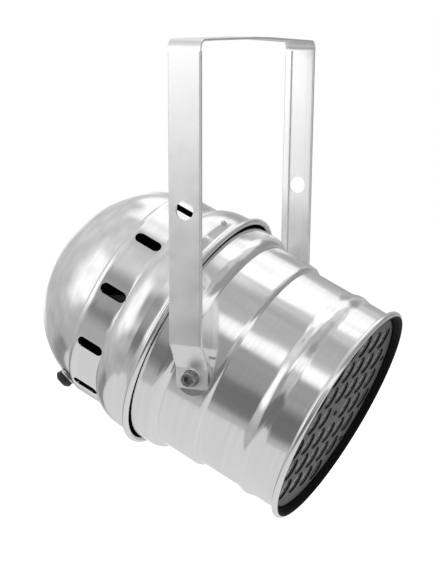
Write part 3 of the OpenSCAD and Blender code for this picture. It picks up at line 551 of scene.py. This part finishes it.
def collar_path():
    """The collar from the band up its rounded rear to its slightly flared front."""
    crest = COLLAR_R - COLLAR_EASE
    first = math.radians(COLLAR_REAR_TURN)
    last = math.radians(COLLAR_FRONT_TURN)
    path = []
    for i in range(COLLAR_STEPS + 1):
        a = first + (last - first) * i / COLLAR_STEPS
        rise = (math.cos(last) - math.cos(a)) / (math.cos(last) - math.cos(first))
        run = (math.sin(a) - math.sin(last)) / (math.sin(first) - math.sin(last))
        path.append((crest - (crest - BAND_R) * rise, COLLAR_REAR + (BAND_FRONT - COLLAR_REAR) * run))
    path.append((COLLAR_R, COLLAR_STRAIGHT))
    flare_start = SHELL_BEAD[1] - FLARE_BACK
    for i in range(FLARE_STEPS + 1):
        share = i / FLARE_STEPS
        path.append((COLLAR_R + FLARE * share * share, flare_start + FLARE_L * share))
    return path


def slot_outline(share):
    """Point on a slot's edge, sideways and forward of its middle, at a share of its length round."""
    if share > 0.5:
        x, y = slot_outline(1 - share)
        return -x, y
    r = SLOT_W / 2
    straight = SLOT_L - SLOT_W
    quarter_l = math.pi * r / 2
    run = share * (2 * straight + 4 * quarter_l)
    if run <= quarter_l:
        a = run / r
        return r * math.sin(a), straight / 2 + r * math.cos(a)
    run -= quarter_l
    if run <= straight:
        return r, straight / 2 - run
    a = (run - straight) / r
    return r * math.cos(a), -straight / 2 - r * math.sin(a)


def cell_edge():
    """Points round the edge of a slot's cell, as turn and place, from its front's middle."""
    half = CELL_TURN / 2
    across = [i / CELL_STEPS for i in range(CELL_STEPS)]
    half_across = across[:CELL_STEPS // 2]
    down = [i / CELL_ROWS for i in range(CELL_ROWS)]
    length = BAND_FRONT - SLOT_CELL_REAR
    edge = [(CELL_TURN * t, BAND_FRONT) for t in half_across]
    edge += [(half, BAND_FRONT - length * t) for t in down]
    edge += [(half - CELL_TURN * t, SLOT_CELL_REAR) for t in across]
    edge += [(-half, SLOT_CELL_REAR + length * t) for t in down]
    edge += [(CELL_TURN * t - half, BAND_FRONT) for t in half_across]
    return edge


def slot_cell(bm, middle_turn, depth):
    """One cell of the band with its slot cut out; returns the slot's edge."""
    edge = cell_edge()
    r = BAND_R - depth
    rows = []
    for out in CELL_SHARES:
        row = []
        for i, (turn, place) in enumerate(edge):
            x, y = slot_outline(i / len(edge))
            slot_turn = math.degrees(x / BAND_R)
            a = math.radians(middle_turn + slot_turn + (turn - slot_turn) * out)
            s = SLOT_AT + y + (place - SLOT_AT - y) * out
            row.append(bm.verts.new((r * MM * math.cos(a), r * MM * math.sin(a), s * MM)))
        rows.append(row)
    skin(bm, rows)
    return rows[0]


def make_rear_shell():
    bm = bmesh.new()
    first = SLOT_TURN - CELL_TURN / 2
    dome = dome_path()
    collar = collar_path()
    bead = rolled_edge(SHELL_BEAD, SHELL_BEAD_R, COLLAR_R + SHELL_BEAD_WALL_UP)
    inner_dome = beside(dome, WALL)
    inner_dome[0] = (0.0, inner_dome[0][1])
    inner_dome[-1] = (dome[-1][0] - WALL, dome[-1][1])
    inner_collar = beside(collar, WALL)
    inner_collar[0] = (BAND_R - WALL, BAND_FRONT)
    lathe(bm, dome, TURN_STEPS, first)
    lathe(bm, held(collar + bead[:1]), TURN_STEPS, first)
    lathe(bm, bead, TURN_STEPS, first)
    # The shell's inner faces take the near-black: painted shade for the dark seen through the slots.
    lathe(bm, held([bead[-1]] + inner_collar[::-1]), TURN_STEPS, first, shade=1)
    lathe(bm, inner_dome, TURN_STEPS, first, shade=1)
    for i in range(SLOT_COUNT):
        turn = SLOT_TURN + CELL_TURN * i
        outer = slot_cell(bm, turn, 0.0)
        skin(bm, [outer, slot_cell(bm, turn, WALL)])
    bmesh.ops.remove_doubles(bm, verts=bm.verts, dist=MERGE)
    back = CAN.inverted()
    point = back @ (middle("rear_panel") - PANEL_OUT * MM)
    normal = back.to_3x3() @ PANEL_OUT
    bmesh.ops.bisect_plane(
        bm, geom=bm.verts[:] + bm.edges[:] + bm.faces[:], dist=1e-7,
        plane_co=point, plane_no=normal, clear_outer=True)
    open_edges = [edge for edge in bm.edges if edge.is_boundary]
    bmesh.ops.triangle_fill(bm, edges=open_edges, use_beauty=True, normal=normal)
    close_up(bm)
    piece("shell_skin", bm, "can", [polished, inside_shade_black], "rear_shell", CAN)


# Yoke: a strip with folded-in borders, bent into a crossbar and two cranked arms

SHEET_T = 2.1
BORDER_W = 6.8
FLAT_END = 0.4
EDGE_R = 0.5
HEM_EDGE_R = 1.4
EDGE_STEPS = 5
CORNER_R = 9.5
CORNER_DROP = 2.5
PAD_HALF = 16.0
PAD_BEND_R = 60.0
LEAN = 0.0195
CRANK_TOP = 31.5
CRANK_TOP_R = 5.0
CRANK_BOTTOM = 9.2
CRANK_BOTTOM_R = 4.0
END_CORNER_R = 4.0
END_CORNER_TURNS = range(15, 105, 15)
ARM_HOLE_AT = 149.3
ARM_HOLE_R = 8.4
CLAMP_HOLE_R = 6.2
PIVOT_HOLE_R = 4.05
CUT_L = 20.0
BOLT_WASHER_T = 1.2
SHELL_GAP = 2.0
TOUCH = 1e-4
yoke_low, yoke_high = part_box("yoke")
YOKE_W = (yoke_high.x - yoke_low.x) / MM
END_BELOW = (PIVOT.z - yoke_low.z) / MM
PIVOT_DROP = (yoke_high.z - PIVOT.z) / MM
WASHER_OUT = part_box("bolt_washers")[1].y / MM
END_Y = WASHER_OUT - BOLT_WASHER_T
HEM_T = 2 * SHEET_T
CRANK_Y = SHELL_OUT + SHELL_GAP + HEM_T
CORNER_Z = PIVOT_DROP - CORNER_DROP
CORNER_Y = CRANK_Y + LEAN * (CORNER_Z - CRANK_TOP)
ARM_TOP_Z = CORNER_Z - CORNER_R - 1
BORDER_END = 19.5


def rounded(path, radii, steps=8):
    """The path with the inner corners rounded to the given radii."""
    made = [path[0]]
    for i in range(1, len(path) - 1):
        corner = Vector(path[i])
        into = (corner - Vector(path[i - 1])).normalized()
        out = (Vector(path[i + 1]) - corner).normalized()
        turn = math.acos(max(-1.0, min(1.0, into.dot(out))))
        radius = radii[i - 1]
        reach = radius * math.tan(turn / 2)
        side = Vector((-into.y, into.x))
        if side.dot(out) < 0:
            side = -side
        centre = corner - into * reach + side * radius
        for k in range(steps + 1):
            a = turn * k / steps
            point = centre - side * radius * math.cos(a) + into * radius * math.sin(a)
            made.append((point.x, point.y))
    return made + [path[-1]]


def half_yoke():
    """Outer face of the far half, from the crossbar's middle to the arm's end: y and height."""
    corners = [
        (0.0, PIVOT_DROP), (PAD_HALF, PIVOT_DROP), (CORNER_Y, CORNER_Z),
        (CRANK_Y, CRANK_TOP), (END_Y, CRANK_BOTTOM), (END_Y, -END_BELOW),
    ]
    return rounded(corners, [PAD_BEND_R, CORNER_R, CRANK_TOP_R, CRANK_BOTTOM_R])


def yoke_section(half_width, hem):
    """Section of the strip: sideways and depth, with its borders folded in where hem is 1."""
    deep = SHEET_T * (1 + hem)
    edge = EDGE_R + (HEM_EDGE_R - EDGE_R) * hem
    fold = half_width - BORDER_W
    right = [(0.0, 0.0), (half_width - edge - FLAT_END, 0.0)]
    right += arc((half_width - edge, edge), edge, -90, 0, EDGE_STEPS)
    right += arc((half_width - edge, deep - edge), edge, 0, 90, EDGE_STEPS)
    right += [(fold + EDGE_R, deep), (fold, deep - EDGE_R * hem), (fold, SHEET_T), (0.0, SHEET_T)]
    return right + [(-x, d) for x, d in right[-2:0:-1]]


def cut_heights():
    """Heights at which the strip needs a section of its own: border ends and rounded corners."""
    corners = [END_CORNER_R * (1 - math.cos(math.radians(turn))) - END_BELOW for turn in END_CORNER_TURNS]
    return [ARM_TOP_Z, BORDER_END] + corners


def cut_path():
    """The strip's outer face from the near arm's end to the far one's, cut at these heights."""
    half = half_yoke()
    path = [(-y, z) for y, z in half[:0:-1]] + half
    dense = [path[0]]
    for (y0, z0), (y1, z1) in zip(path, path[1:]):
        length = math.hypot(y1 - y0, z1 - z0)
        shares = []
        for height in cut_heights():
            upright = abs(z1 - z0) > 0.8 * length
            if upright and min(z0, z1) + TOUCH < height < max(z0, z1) - TOUCH:
                shares.append((height - z0) / (z1 - z0))
        dense += [(y0 + (y1 - y0) * t, z0 + (z1 - z0) * t) for t in sorted(shares)]
        dense.append((y1, z1))
    return dense


def yoke_stations():
    """Each station's point, inward direction with its mitre, half width and hem."""
    dense = cut_path()
    stations = []
    for (y, z), (inner_y, inner_z) in zip(dense, beside(dense, -1.0)):
        from_end = z + END_BELOW
        half_width = YOKE_W / 2
        if from_end < END_CORNER_R:
            rest = END_CORNER_R - from_end
            half_width += math.sqrt(max(END_CORNER_R ** 2 - rest * rest, 0.0)) - END_CORNER_R
        hems = [1] if BORDER_END - TOUCH < z < ARM_TOP_Z + TOUCH else [0]
        at_foot = abs(z - BORDER_END) < TOUCH
        if at_foot or abs(z - ARM_TOP_Z) < TOUCH:
            going_up = y < 0
            hems = [0, 1] if at_foot == going_up else [1, 0]
        stations += [((y, z), (inner_y - y, inner_z - z), half_width, hem) for hem in hems]
    return stations


def cut_holes(made, cutters):
    """Cuts round holes: each cutter is a radius in millimetres, a middle and a direction."""
    bm = bmesh.new()
    for radius, centre, direction in cutters:
        turn = direction.to_track_quat("Z", "Y").to_matrix().to_4x4()
        turn.translation = centre
        bmesh.ops.create_cone(
            bm, cap_ends=True, segments=96, radius1=radius * MM, radius2=radius * MM,
            depth=CUT_L * MM, matrix=turn)
    mesh = bpy.data.meshes.new("cutter")
    bm.to_mesh(mesh)
    bm.free()
    cutter = bpy.data.objects.new("cutter", mesh)
    bpy.context.scene.collection.objects.link(cutter)
    modifier = made.modifiers.new("holes", "BOOLEAN")
    modifier.object = cutter
    modifier.solver = "EXACT"
    bpy.context.view_layer.update()
    graph = bpy.context.evaluated_depsgraph_get()
    cut = bpy.data.meshes.new_from_object(made.evaluated_get(graph))
    made.modifiers.remove(modifier)
    made.data = cut
    bpy.data.objects.remove(cutter)


def make_yoke():
    """The strip with its clamp hole, arm holes and pivot holes."""
    bm = bmesh.new()
    rows = []
    for (y, z), (in_y, in_z), half_width, hem in yoke_stations():
        row = []
        for x, deep in yoke_section(half_width, hem):
            row.append(bm.verts.new((x * MM, (y + in_y * deep) * MM, PIVOT.z + (z + in_z * deep) * MM)))
        rows.append(row)
    skin(bm, rows)
    bm.faces.new(rows[0])
    bm.faces.new(rows[-1])
    close_up(bm, sharp=50.0)
    made = piece("yoke_strip", bm, "yoke", [satin], "yoke")
    hole_y = CRANK_Y + LEAN * (ARM_HOLE_AT - CRANK_TOP)
    cutters = [(CLAMP_HOLE_R, Vector((0, 0, 0)), Vector((0, 0, 1)))]
    for side in (-1, 1):
        arm_hole = Vector((0, side * hole_y * MM, PIVOT.z + ARM_HOLE_AT * MM))
        cutters.append((ARM_HOLE_R, arm_hole, SIDEWAYS))
        cutters.append((PIVOT_HOLE_R, Vector((0, side * END_Y * MM, PIVOT.z)), SIDEWAYS))
    cut_holes(made, cutters)
    work = bmesh.new()
    work.from_mesh(made.data)
    close_up(work, sharp=40.0)
    work.to_mesh(made.data)
    work.free()


# Pivot screws: knurled heads with a hexagon socket

KNURLS = 36
KNURL_POINTS = 4
KNURL_DEPTH = 0.4
HEAD_STEPS = KNURLS * KNURL_POINTS
HEAD_R = 6.5
SHANK_R = 4.0
SOCKET_W = 6.0
SOCKET_DEPTH = 4.5


def round_row(r, steps=HEAD_STEPS, shift=0.0):
    turns = [2 * math.pi * (i + shift) / steps for i in range(steps)]
    return [(r * math.cos(a), r * math.sin(a)) for a in turns]


def knurl_row():
    row = []
    for i in range(HEAD_STEPS):
        groove = 0.5 - 0.5 * math.cos(2 * math.pi * (i % KNURL_POINTS) / KNURL_POINTS)
        a = 2 * math.pi * i / HEAD_STEPS
        r = HEAD_R - KNURL_DEPTH * groove
        row.append((r * math.cos(a), r * math.sin(a)))
    return row


def hexagon_row(flats):
    row = []
    for i in range(HEAD_STEPS):
        a = 2 * math.pi * i / HEAD_STEPS
        bay = (a + math.pi / 6) % (math.pi / 3) - math.pi / 6
        r = flats / 2 / math.cos(bay)
        row.append((r * math.cos(a), r * math.sin(a)))
    return row


def add_stack(bm, layers, matrix):
    """Joins layers of points, each a height and a row, and closes both ends."""
    rows = []
    for height, row in layers:
        rows.append([bm.verts.new(matrix @ Vector((x * MM, y * MM, height * MM))) for x, y in row])
    skin(bm, rows)
    bm.faces.new(rows[0])
    bm.faces.new(rows[-1])


def make_pivot_bolts():
    bm = bmesh.new()
    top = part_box("pivot_bolts")[1].y / MM
    tip = min(abs(p.y) for solid in solids_of("pivot_bolts") for p in solid) / MM
    layers = [
        (tip, round_row(SHANK_R - 0.6)), (tip + 0.6, round_row(SHANK_R)),
        (WASHER_OUT, round_row(SHANK_R)), (WASHER_OUT, round_row(HEAD_R - 0.4)),
        (WASHER_OUT + 0.4, round_row(HEAD_R - 0.2)), (WASHER_OUT + 0.5, knurl_row()),
        (top - 1.1, knurl_row()), (top - 1.0, round_row(HEAD_R - 0.15)),
        (top - 0.25, round_row(HEAD_R - 0.5)), (top, round_row(HEAD_R - 0.9)),
        (top, hexagon_row(SOCKET_W + 0.4)), (top - 0.3, hexagon_row(SOCKET_W)),
        (top - SOCKET_DEPTH, hexagon_row(SOCKET_W)),
    ]
    for side in (-1, 1):
        out = Vector((0, side, 0))
        add_stack(bm, layers, frame_matrix(Vector((0, 0, PIVOT.z)), Vector((side, 0, 0)), DOWN, out))
    close_up(bm, sharp=30.0)
    piece("pivot_screws", bm, "can", [knurled], "pivot_bolts")


# Small pan-head screws with a cross recess

SMALL_STEPS = 48
SMALL_SHANK_R = 1.5
CROSS_REACH = 1.25
CROSS_W = 0.34
CROSS_DEPTH = 1.1
CROSS_FLOOR_REACH = 0.9
CROSS_FLOOR_W = 0.26


def cross_row(reach, width):
    """A plus sign's outline, sampled by angle, inside the given reach."""
    row = []
    for x, y in round_row(1.0, SMALL_STEPS, 0.5):
        long_way = max(abs(x), abs(y))
        short_way = min(abs(x), abs(y))
        r = reach / long_way if short_way * reach / long_way <= width else width / short_way
        row.append((r * x, r * y))
    return row


def small_row(r):
    return round_row(r, SMALL_STEPS, 0.5)


def pan_head_layers(head_r, head_h, shank):
    """Heights from the head's foot and rows of a pan-head screw with a cross recess."""
    return [
        (-shank, small_row(SMALL_SHANK_R - 0.2)), (0.4 - shank, small_row(SMALL_SHANK_R)),
        (0, small_row(SMALL_SHANK_R)), (0, small_row(head_r - 0.1)),
        (0.15, small_row(head_r)), (head_h * 0.45, small_row(head_r)),
        (head_h * 0.72, small_row(head_r - 0.22)), (head_h * 0.92, small_row(head_r - 0.75)),
        (head_h, small_row(head_r - 1.3)), (head_h, cross_row(CROSS_REACH, CROSS_W)),
        (head_h - CROSS_DEPTH, cross_row(CROSS_FLOOR_REACH, CROSS_FLOOR_W)),
    ]


def pan_heads(name, node, out_of, metal=bright):
    """Rounded heads with a cross recess for a node's screws; out_of gives each one's direction."""
    bm = bmesh.new()
    for points in solids_of(node):
        out = out_of(sum(points, Vector()) / len(points))
        heights = [p.dot(out) for p in points]
        top = max(heights)
        crown = [p for p, height in zip(points, heights) if height > top - 0.1 * MM]
        on_axis = sum(crown, Vector()) / len(crown)

        def off_axis(p):
            across = p - on_axis
            return (across - out * across.dot(out)).length

        head_r = max(off_axis(p) for p in crown)
        foot = min(height for p, height in zip(points, heights) if off_axis(p) > 0.9 * head_r)
        side = out.orthogonal().normalized()
        origin = on_axis + out * (foot - on_axis.dot(out))
        layers = pan_head_layers(head_r / MM, (top - foot) / MM, (foot - min(heights)) / MM)
        add_stack(bm, layers, frame_matrix(origin, side, out.cross(side), out))
    close_up(bm, sharp=40.0)
    piece(name, bm, "can", [metal], node)


def out_of_can(centre):
    foot = BESIDE_PIVOT + FORWARD * FORWARD.dot(centre - BESIDE_PIVOT)
    return (centre - foot).normalized()


# Lenses

LENS_STEPS = 48
PIT_R = 1.3
PIT_DEPTH = 1.4
CROWN_R = 8.0
CROWN_RISE = 0.45
GROOVE_R = 10.7
GROOVE_DEPTH = 0.8
GROOVE_W = 0.6
CROWN_EDGE = ((CROWN_R, 0.05), (8.8, -0.05), (9.6, -0.25), (10.4, -0.6))
RIM_DEPTH = 0.1
RIM_T = 1.5
LENS_FOOT_R = 3.2
SEAT_DEPTH = 3.0


def lens_crown(face):
    """The lens's front from the pit's edge over the crown and down to the groove."""
    path = [(r, face + CROWN_RISE * (1 - (r / CROWN_R) ** 2)) for r in (PIT_R, 1.7, 2.2, 4.0, 6.0, 7.2)]
    return path + [(r, face + drop) for r, drop in CROWN_EDGE]


def lens_back(face, foot, rim):
    """The groove, the lens's rim and its body down to the seat over the LED."""
    groove = [(GROOVE_R, face - GROOVE_DEPTH), (GROOVE_R + GROOVE_W, face - GROOVE_DEPTH)]
    edge = [(GROOVE_R + GROOVE_W + 0.15, face - RIM_DEPTH), (rim, face - RIM_DEPTH)]
    body = [(rim, face - RIM_DEPTH - RIM_T), (rim - 1.6, face - 1.7), (4.6, foot), (LENS_FOOT_R, foot)]
    return groove + edge + body + [(LENS_FOOT_R, foot + SEAT_DEPTH), (0.0, foot + SEAT_DEPTH + 0.2)]


def make_lenses():
    bm = bmesh.new()
    back = CAN.inverted()
    for points in solids_of("lenses"):
        local = [back @ p for p in points]
        low = [min(p[axis] for p in local) for axis in range(3)]
        high = [max(p[axis] for p in local) for axis in range(3)]
        face = high[2] / MM
        start = len(bm.verts)
        # The pit takes the black plastic: painted shade for the dark mark in the middle of each lens.
        pit = [(0.0, face - PIT_DEPTH), (PIT_R - 0.2, face - PIT_DEPTH + 0.1), (PIT_R, face + 0.42)]
        lathe(bm, pit, LENS_STEPS, shade=1)
        lathe(bm, lens_crown(face) + lens_back(face, low[2] / MM, (high[0] - low[0]) / 2 / MM), LENS_STEPS)
        middle_of_lens = Vector((high[0] + low[0], high[1] + low[1], 0)) / 2
        bm.verts.ensure_lookup_table()
        for vert in bm.verts[start:]:
            vert.co += middle_of_lens
    close_up(bm)
    piece("lens_optics", bm, "can", [clear, plastic], "lenses", CAN)


make_front_tube()
make_rear_shell()
make_yoke()
make_pivot_bolts()
make_lenses()
pan_heads("shell_screw_heads", "shell_screws", out_of_can)
pan_heads("plate_screw_heads", "plate_screws", lambda centre: FORWARD, blackened)
pan_heads("panel_screw_heads", "panel_screws", lambda centre: PANEL_OUT)
pan_heads("socket_screw_heads", "socket_screws", lambda centre: PANEL_OUT)


# Studio: a pale floor, soft boxes, and a room that only metal mirrors

CENTRE = Vector((0, 0, -0.28))
FLOOR_Z = -1.35
FLOOR_R = 6.0
FLOOR_SIDES = 48
ROOM_R = 2.1
WORLD_LIGHT = 0.55
WORLD_SHOWN = 1.0


def toward(azimuth, elevation):
    """Direction given in degrees round from +X and up."""
    a = math.radians(azimuth)
    e = math.radians(elevation)
    return Vector((math.cos(a) * math.cos(e), math.sin(a) * math.cos(e), math.sin(e)))


def seen_directly(tree):
    """1 for rays from the camera, from gloss and through clear plastic, else 0."""
    path = tree.nodes.new("ShaderNodeLightPath")
    either = calculate(tree, "MAXIMUM", path.outputs["Is Camera Ray"], path.outputs["Is Glossy Ray"])
    return calculate(tree, "MAXIMUM", either, path.outputs["Is Transmission Ray"])


def floor_material(colour, lift, mirrored_lift):
    """Pale matt floor; direct views get a lift towards white and keep the shadow."""
    material, tree, shader = new_material("floor")
    shader.inputs["Roughness"].default_value = 0.9
    clouds = pattern(tree, 3.0)
    tree.links.new(tint(tree, clouds, grey(colour - 0.01), grey(colour)), shader.inputs["Base Color"])
    lifted = tree.nodes.new("ShaderNodeEmission")
    path = tree.nodes.new("ShaderNodeLightPath")
    straight = calculate(tree, "MULTIPLY", path.outputs["Is Camera Ray"], lift)
    mirrored = calculate(tree, "MULTIPLY_ADD", path.outputs["Is Glossy Ray"], mirrored_lift, straight)
    through = calculate(tree, "MULTIPLY_ADD", path.outputs["Is Transmission Ray"], mirrored_lift, mirrored)
    tree.links.new(through, lifted.inputs["Strength"])
    both = tree.nodes.new("ShaderNodeAddShader")
    tree.links.new(shader.outputs["BSDF"], both.inputs[0])
    tree.links.new(lifted.outputs["Emission"], both.inputs[1])
    tree.links.new(both.outputs["Shader"], tree.nodes["Material Output"].inputs["Surface"])
    return material


def make_floor():
    """A round floor, wide enough to fill the view behind the object."""
    turns = [2 * math.pi * i / FLOOR_SIDES for i in range(FLOOR_SIDES)]
    corners = [(FLOOR_R * math.cos(a), FLOOR_R * math.sin(a), FLOOR_Z) for a in turns]
    mesh = bpy.data.meshes.new("floor")
    mesh.from_pydata(corners, [], [tuple(range(FLOOR_SIDES))])
    mesh.materials.append(floor_material(colour=0.80, lift=0.75, mirrored_lift=0.10))
    floor = bpy.data.objects.new("floor", mesh)
    bpy.context.scene.collection.objects.link(floor)


def within(tree, distance, half, soft):
    """1 inside the half width, 0 outside it, with a soft edge."""
    node = tree.nodes.new("ShaderNodeMapRange")
    node.interpolation_type = "SMOOTHSTEP"
    node.inputs["From Min"].default_value = math.radians(half + soft)
    node.inputs["From Max"].default_value = math.radians(half - soft)
    tree.links.new(calculate(tree, "ABSOLUTE", distance), node.inputs["Value"])
    return node.outputs["Result"]


def add_patch(tree, direction, height, glow, level, place, half, soft, slope):
    """Lays a soft-edged patch of the given level over the room's glow, in degrees of direction."""
    azimuth, elevation = place
    ahead = along(tree, direction, toward(azimuth, 0))
    beside_it = along(tree, direction, toward(azimuth + 90, 0))
    turn = calculate(tree, "ARCTAN2", beside_it, ahead)
    rise = calculate(tree, "SUBTRACT", height, math.radians(elevation))
    rise = calculate(tree, "MULTIPLY_ADD", turn, -slope, rise)
    sideways = within(tree, turn, half[0], soft)
    upwards = within(tree, rise, half[1], soft)
    mixed = tree.nodes.new("ShaderNodeMix")
    mixed.inputs["B"].default_value = level
    tree.links.new(calculate(tree, "MULTIPLY", sideways, upwards), mixed.inputs["Factor"])
    tree.links.new(glow, mixed.inputs["A"])
    return mixed.outputs["Result"]


def room_material():
    """The studio round the object as its metal mirrors it: walls, ceiling, boxes and backdrop."""
    material, tree, shader = new_material("room")
    tree.nodes.remove(shader)
    place = tree.nodes.new("ShaderNodeTexCoord").outputs["Object"]
    straight = tree.nodes.new("ShaderNodeVectorMath")
    straight.operation = "NORMALIZE"
    tree.links.new(place, straight.inputs[0])
    direction = straight.outputs["Vector"]
    height = calculate(tree, "ARCSINE", along(tree, direction, (0, 0, 1)))
    glow = spread(tree, height, 0.46, 0.64, math.radians(-20), math.radians(40))

    def lay(level, place, half, soft, slope=0.0):
        nonlocal glow
        glow = add_patch(tree, direction, height, glow, level, place, half, soft, slope)

    # Dark parts of the studio: its far side, its ceiling, and the wall and floor beside the camera
    lay(0.32, (20, 22), (62, 30), 9)
    lay(0.46, (310, 66), (42, 16), 7)
    lay(0.34, (262, 16), (20, 20), 6)
    lay(0.17, (274, -10), (34, 14), 5)
    lay(0.19, (308, -30), (38, 16), 6)
    lay(0.26, (168, -28), (22, 7), 4)
    lay(0.44, (100, 14), (9, 20), 5)
    # Lit walls, the soft boxes' own faces, the backdrop, the ceiling's panels and two strips
    lay(0.74, (225, 58), (24, 20), 10)
    lay(0.84, (213, 22), (13, 20), 8)
    lay(1.08, (226, 24), (17, 21), 6)
    lay(1.20, (135, 6), (17, 17), 5)
    lay(0.85, (124, -28), (9, 12), 5)
    lay(0.72, (45, 52), (22, 14), 10)
    lay(1.15, (94, 60), (34, 24), 5)
    lay(1.15, (95, 80), (62, 18), 8)
    lay(1.00, (0, 90), (200, 8), 4)
    lay(1.09, (281, 41), (14, 7.5), 2.5)
    lay(1.05, (332, 13), (40, 10), 4, -0.73)
    clouds = tree.nodes.new("ShaderNodeTexNoise")
    clouds.inputs["Scale"].default_value = 5.0
    clouds.inputs["Detail"].default_value = 3.0
    tree.links.new(direction, clouds.inputs["Vector"])
    glow = calculate(tree, "MULTIPLY", glow, spread(tree, clouds.outputs["Fac"], 0.84, 1.10))
    shade = tree.nodes.new("ShaderNodeEmission")
    tree.links.new(glow, shade.inputs["Strength"])
    tree.links.new(shade.outputs["Emission"], tree.nodes["Material Output"].inputs["Surface"])
    material.cycles.emission_sampling = "NONE"
    return material


def make_room():
    """A sphere that only mirror reflections meet."""
    bm = bmesh.new()
    bmesh.ops.create_uvsphere(bm, u_segments=96, v_segments=48, radius=ROOM_R)
    mesh = bpy.data.meshes.new("room")
    bm.to_mesh(mesh)
    bm.free()
    mesh.materials.append(room_material())
    room = bpy.data.objects.new("room", mesh)
    room.location = CENTRE
    bpy.context.scene.collection.objects.link(room)
    room.visible_camera = False
    room.visible_diffuse = False
    room.visible_transmission = False
    room.visible_shadow = False


def soft_box(name, out, spans, distance, radiance):
    """A flat lamp in the given direction that spans so many degrees sideways and upwards."""
    width, height = spans
    lamp = bpy.data.lights.new(name, "AREA")
    lamp.shape = "RECTANGLE"
    lamp.size = 2 * distance * math.tan(math.radians(width / 2))
    lamp.size_y = 2 * distance * math.tan(math.radians(height / 2))
    lamp.energy = radiance * math.pi * lamp.size * lamp.size_y
    made = bpy.data.objects.new(name, lamp)
    bpy.context.scene.collection.objects.link(made)
    made.location = CENTRE + out * distance
    made.rotation_mode = "QUATERNION"
    made.rotation_quaternion = out.to_track_quat("Z", "Y")
    made.visible_camera = False
    made.visible_glossy = False
    return made


def light_only(lamp, lit_piece):
    """Keeps a lamp for the named piece, as a flag beside it would, and lets it mirror the lamp."""
    lit = bpy.data.collections.new(lamp.name + "_lit")
    lit.objects.link(bpy.data.objects[lit_piece])
    lamp.light_linking.receiver_collection = lit
    lamp.visible_glossy = True


make_floor()
soft_box("box_over", toward(55, 58), (74, 40), distance=2.4, radiance=1.3)
light_only(soft_box("box_arms", toward(247, 16), (40, 26), distance=1.9, radiance=1.35), "yoke_strip")
soft_box("box_near", toward(-88, 43.5), (16, 8), distance=2.2, radiance=1.6)
soft_box("box_left", toward(-144, 25), (12, 42), distance=2.4, radiance=1.3)
make_room()


def make_world():
    """A plain white surround that gives less light than it shows."""
    world = bpy.data.worlds.new("studio")
    bpy.context.scene.world = world
    world.use_nodes = True
    tree = world.node_tree
    shade = tree.nodes["Background"]
    shade.inputs["Color"].default_value = (*grey(1.0), 1)
    strength = spread(tree, seen_directly(tree), WORLD_LIGHT, WORLD_SHOWN, 0.0, 1.0)
    tree.links.new(strength, shade.inputs["Strength"])


make_world()


# Camera

CAMERA_AT = Vector((0.5322, -1.2238, -0.0066))
CAMERA_TARGET = Vector((-0.0283, 0.0, -0.2371))
CAMERA_ROLL = math.radians(0.526)
CAMERA_LENS = 118.99
SENSOR_W = 36.0


def make_camera():
    """The camera that was fitted to the photograph."""
    back = (CAMERA_AT - CAMERA_TARGET).normalized()
    right = Vector((0, 0, 1)).cross(back).normalized()
    up = back.cross(right)
    rolled_right = right * math.cos(CAMERA_ROLL) + up * math.sin(CAMERA_ROLL)
    rolled_up = up * math.cos(CAMERA_ROLL) - right * math.sin(CAMERA_ROLL)
    lens = bpy.data.cameras.new("camera")
    lens.sensor_fit = "HORIZONTAL"
    lens.sensor_width = SENSOR_W
    lens.lens = CAMERA_LENS
    lens.clip_start = 0.05
    lens.clip_end = 40.0
    made = bpy.data.objects.new("camera", lens)
    bpy.context.scene.collection.objects.link(made)
    made.matrix_world = frame_matrix(CAMERA_AT, rolled_right, rolled_up, back)
    bpy.context.scene.camera = made


make_camera()
bpy.context.scene.view_settings.view_transform = "Standard"
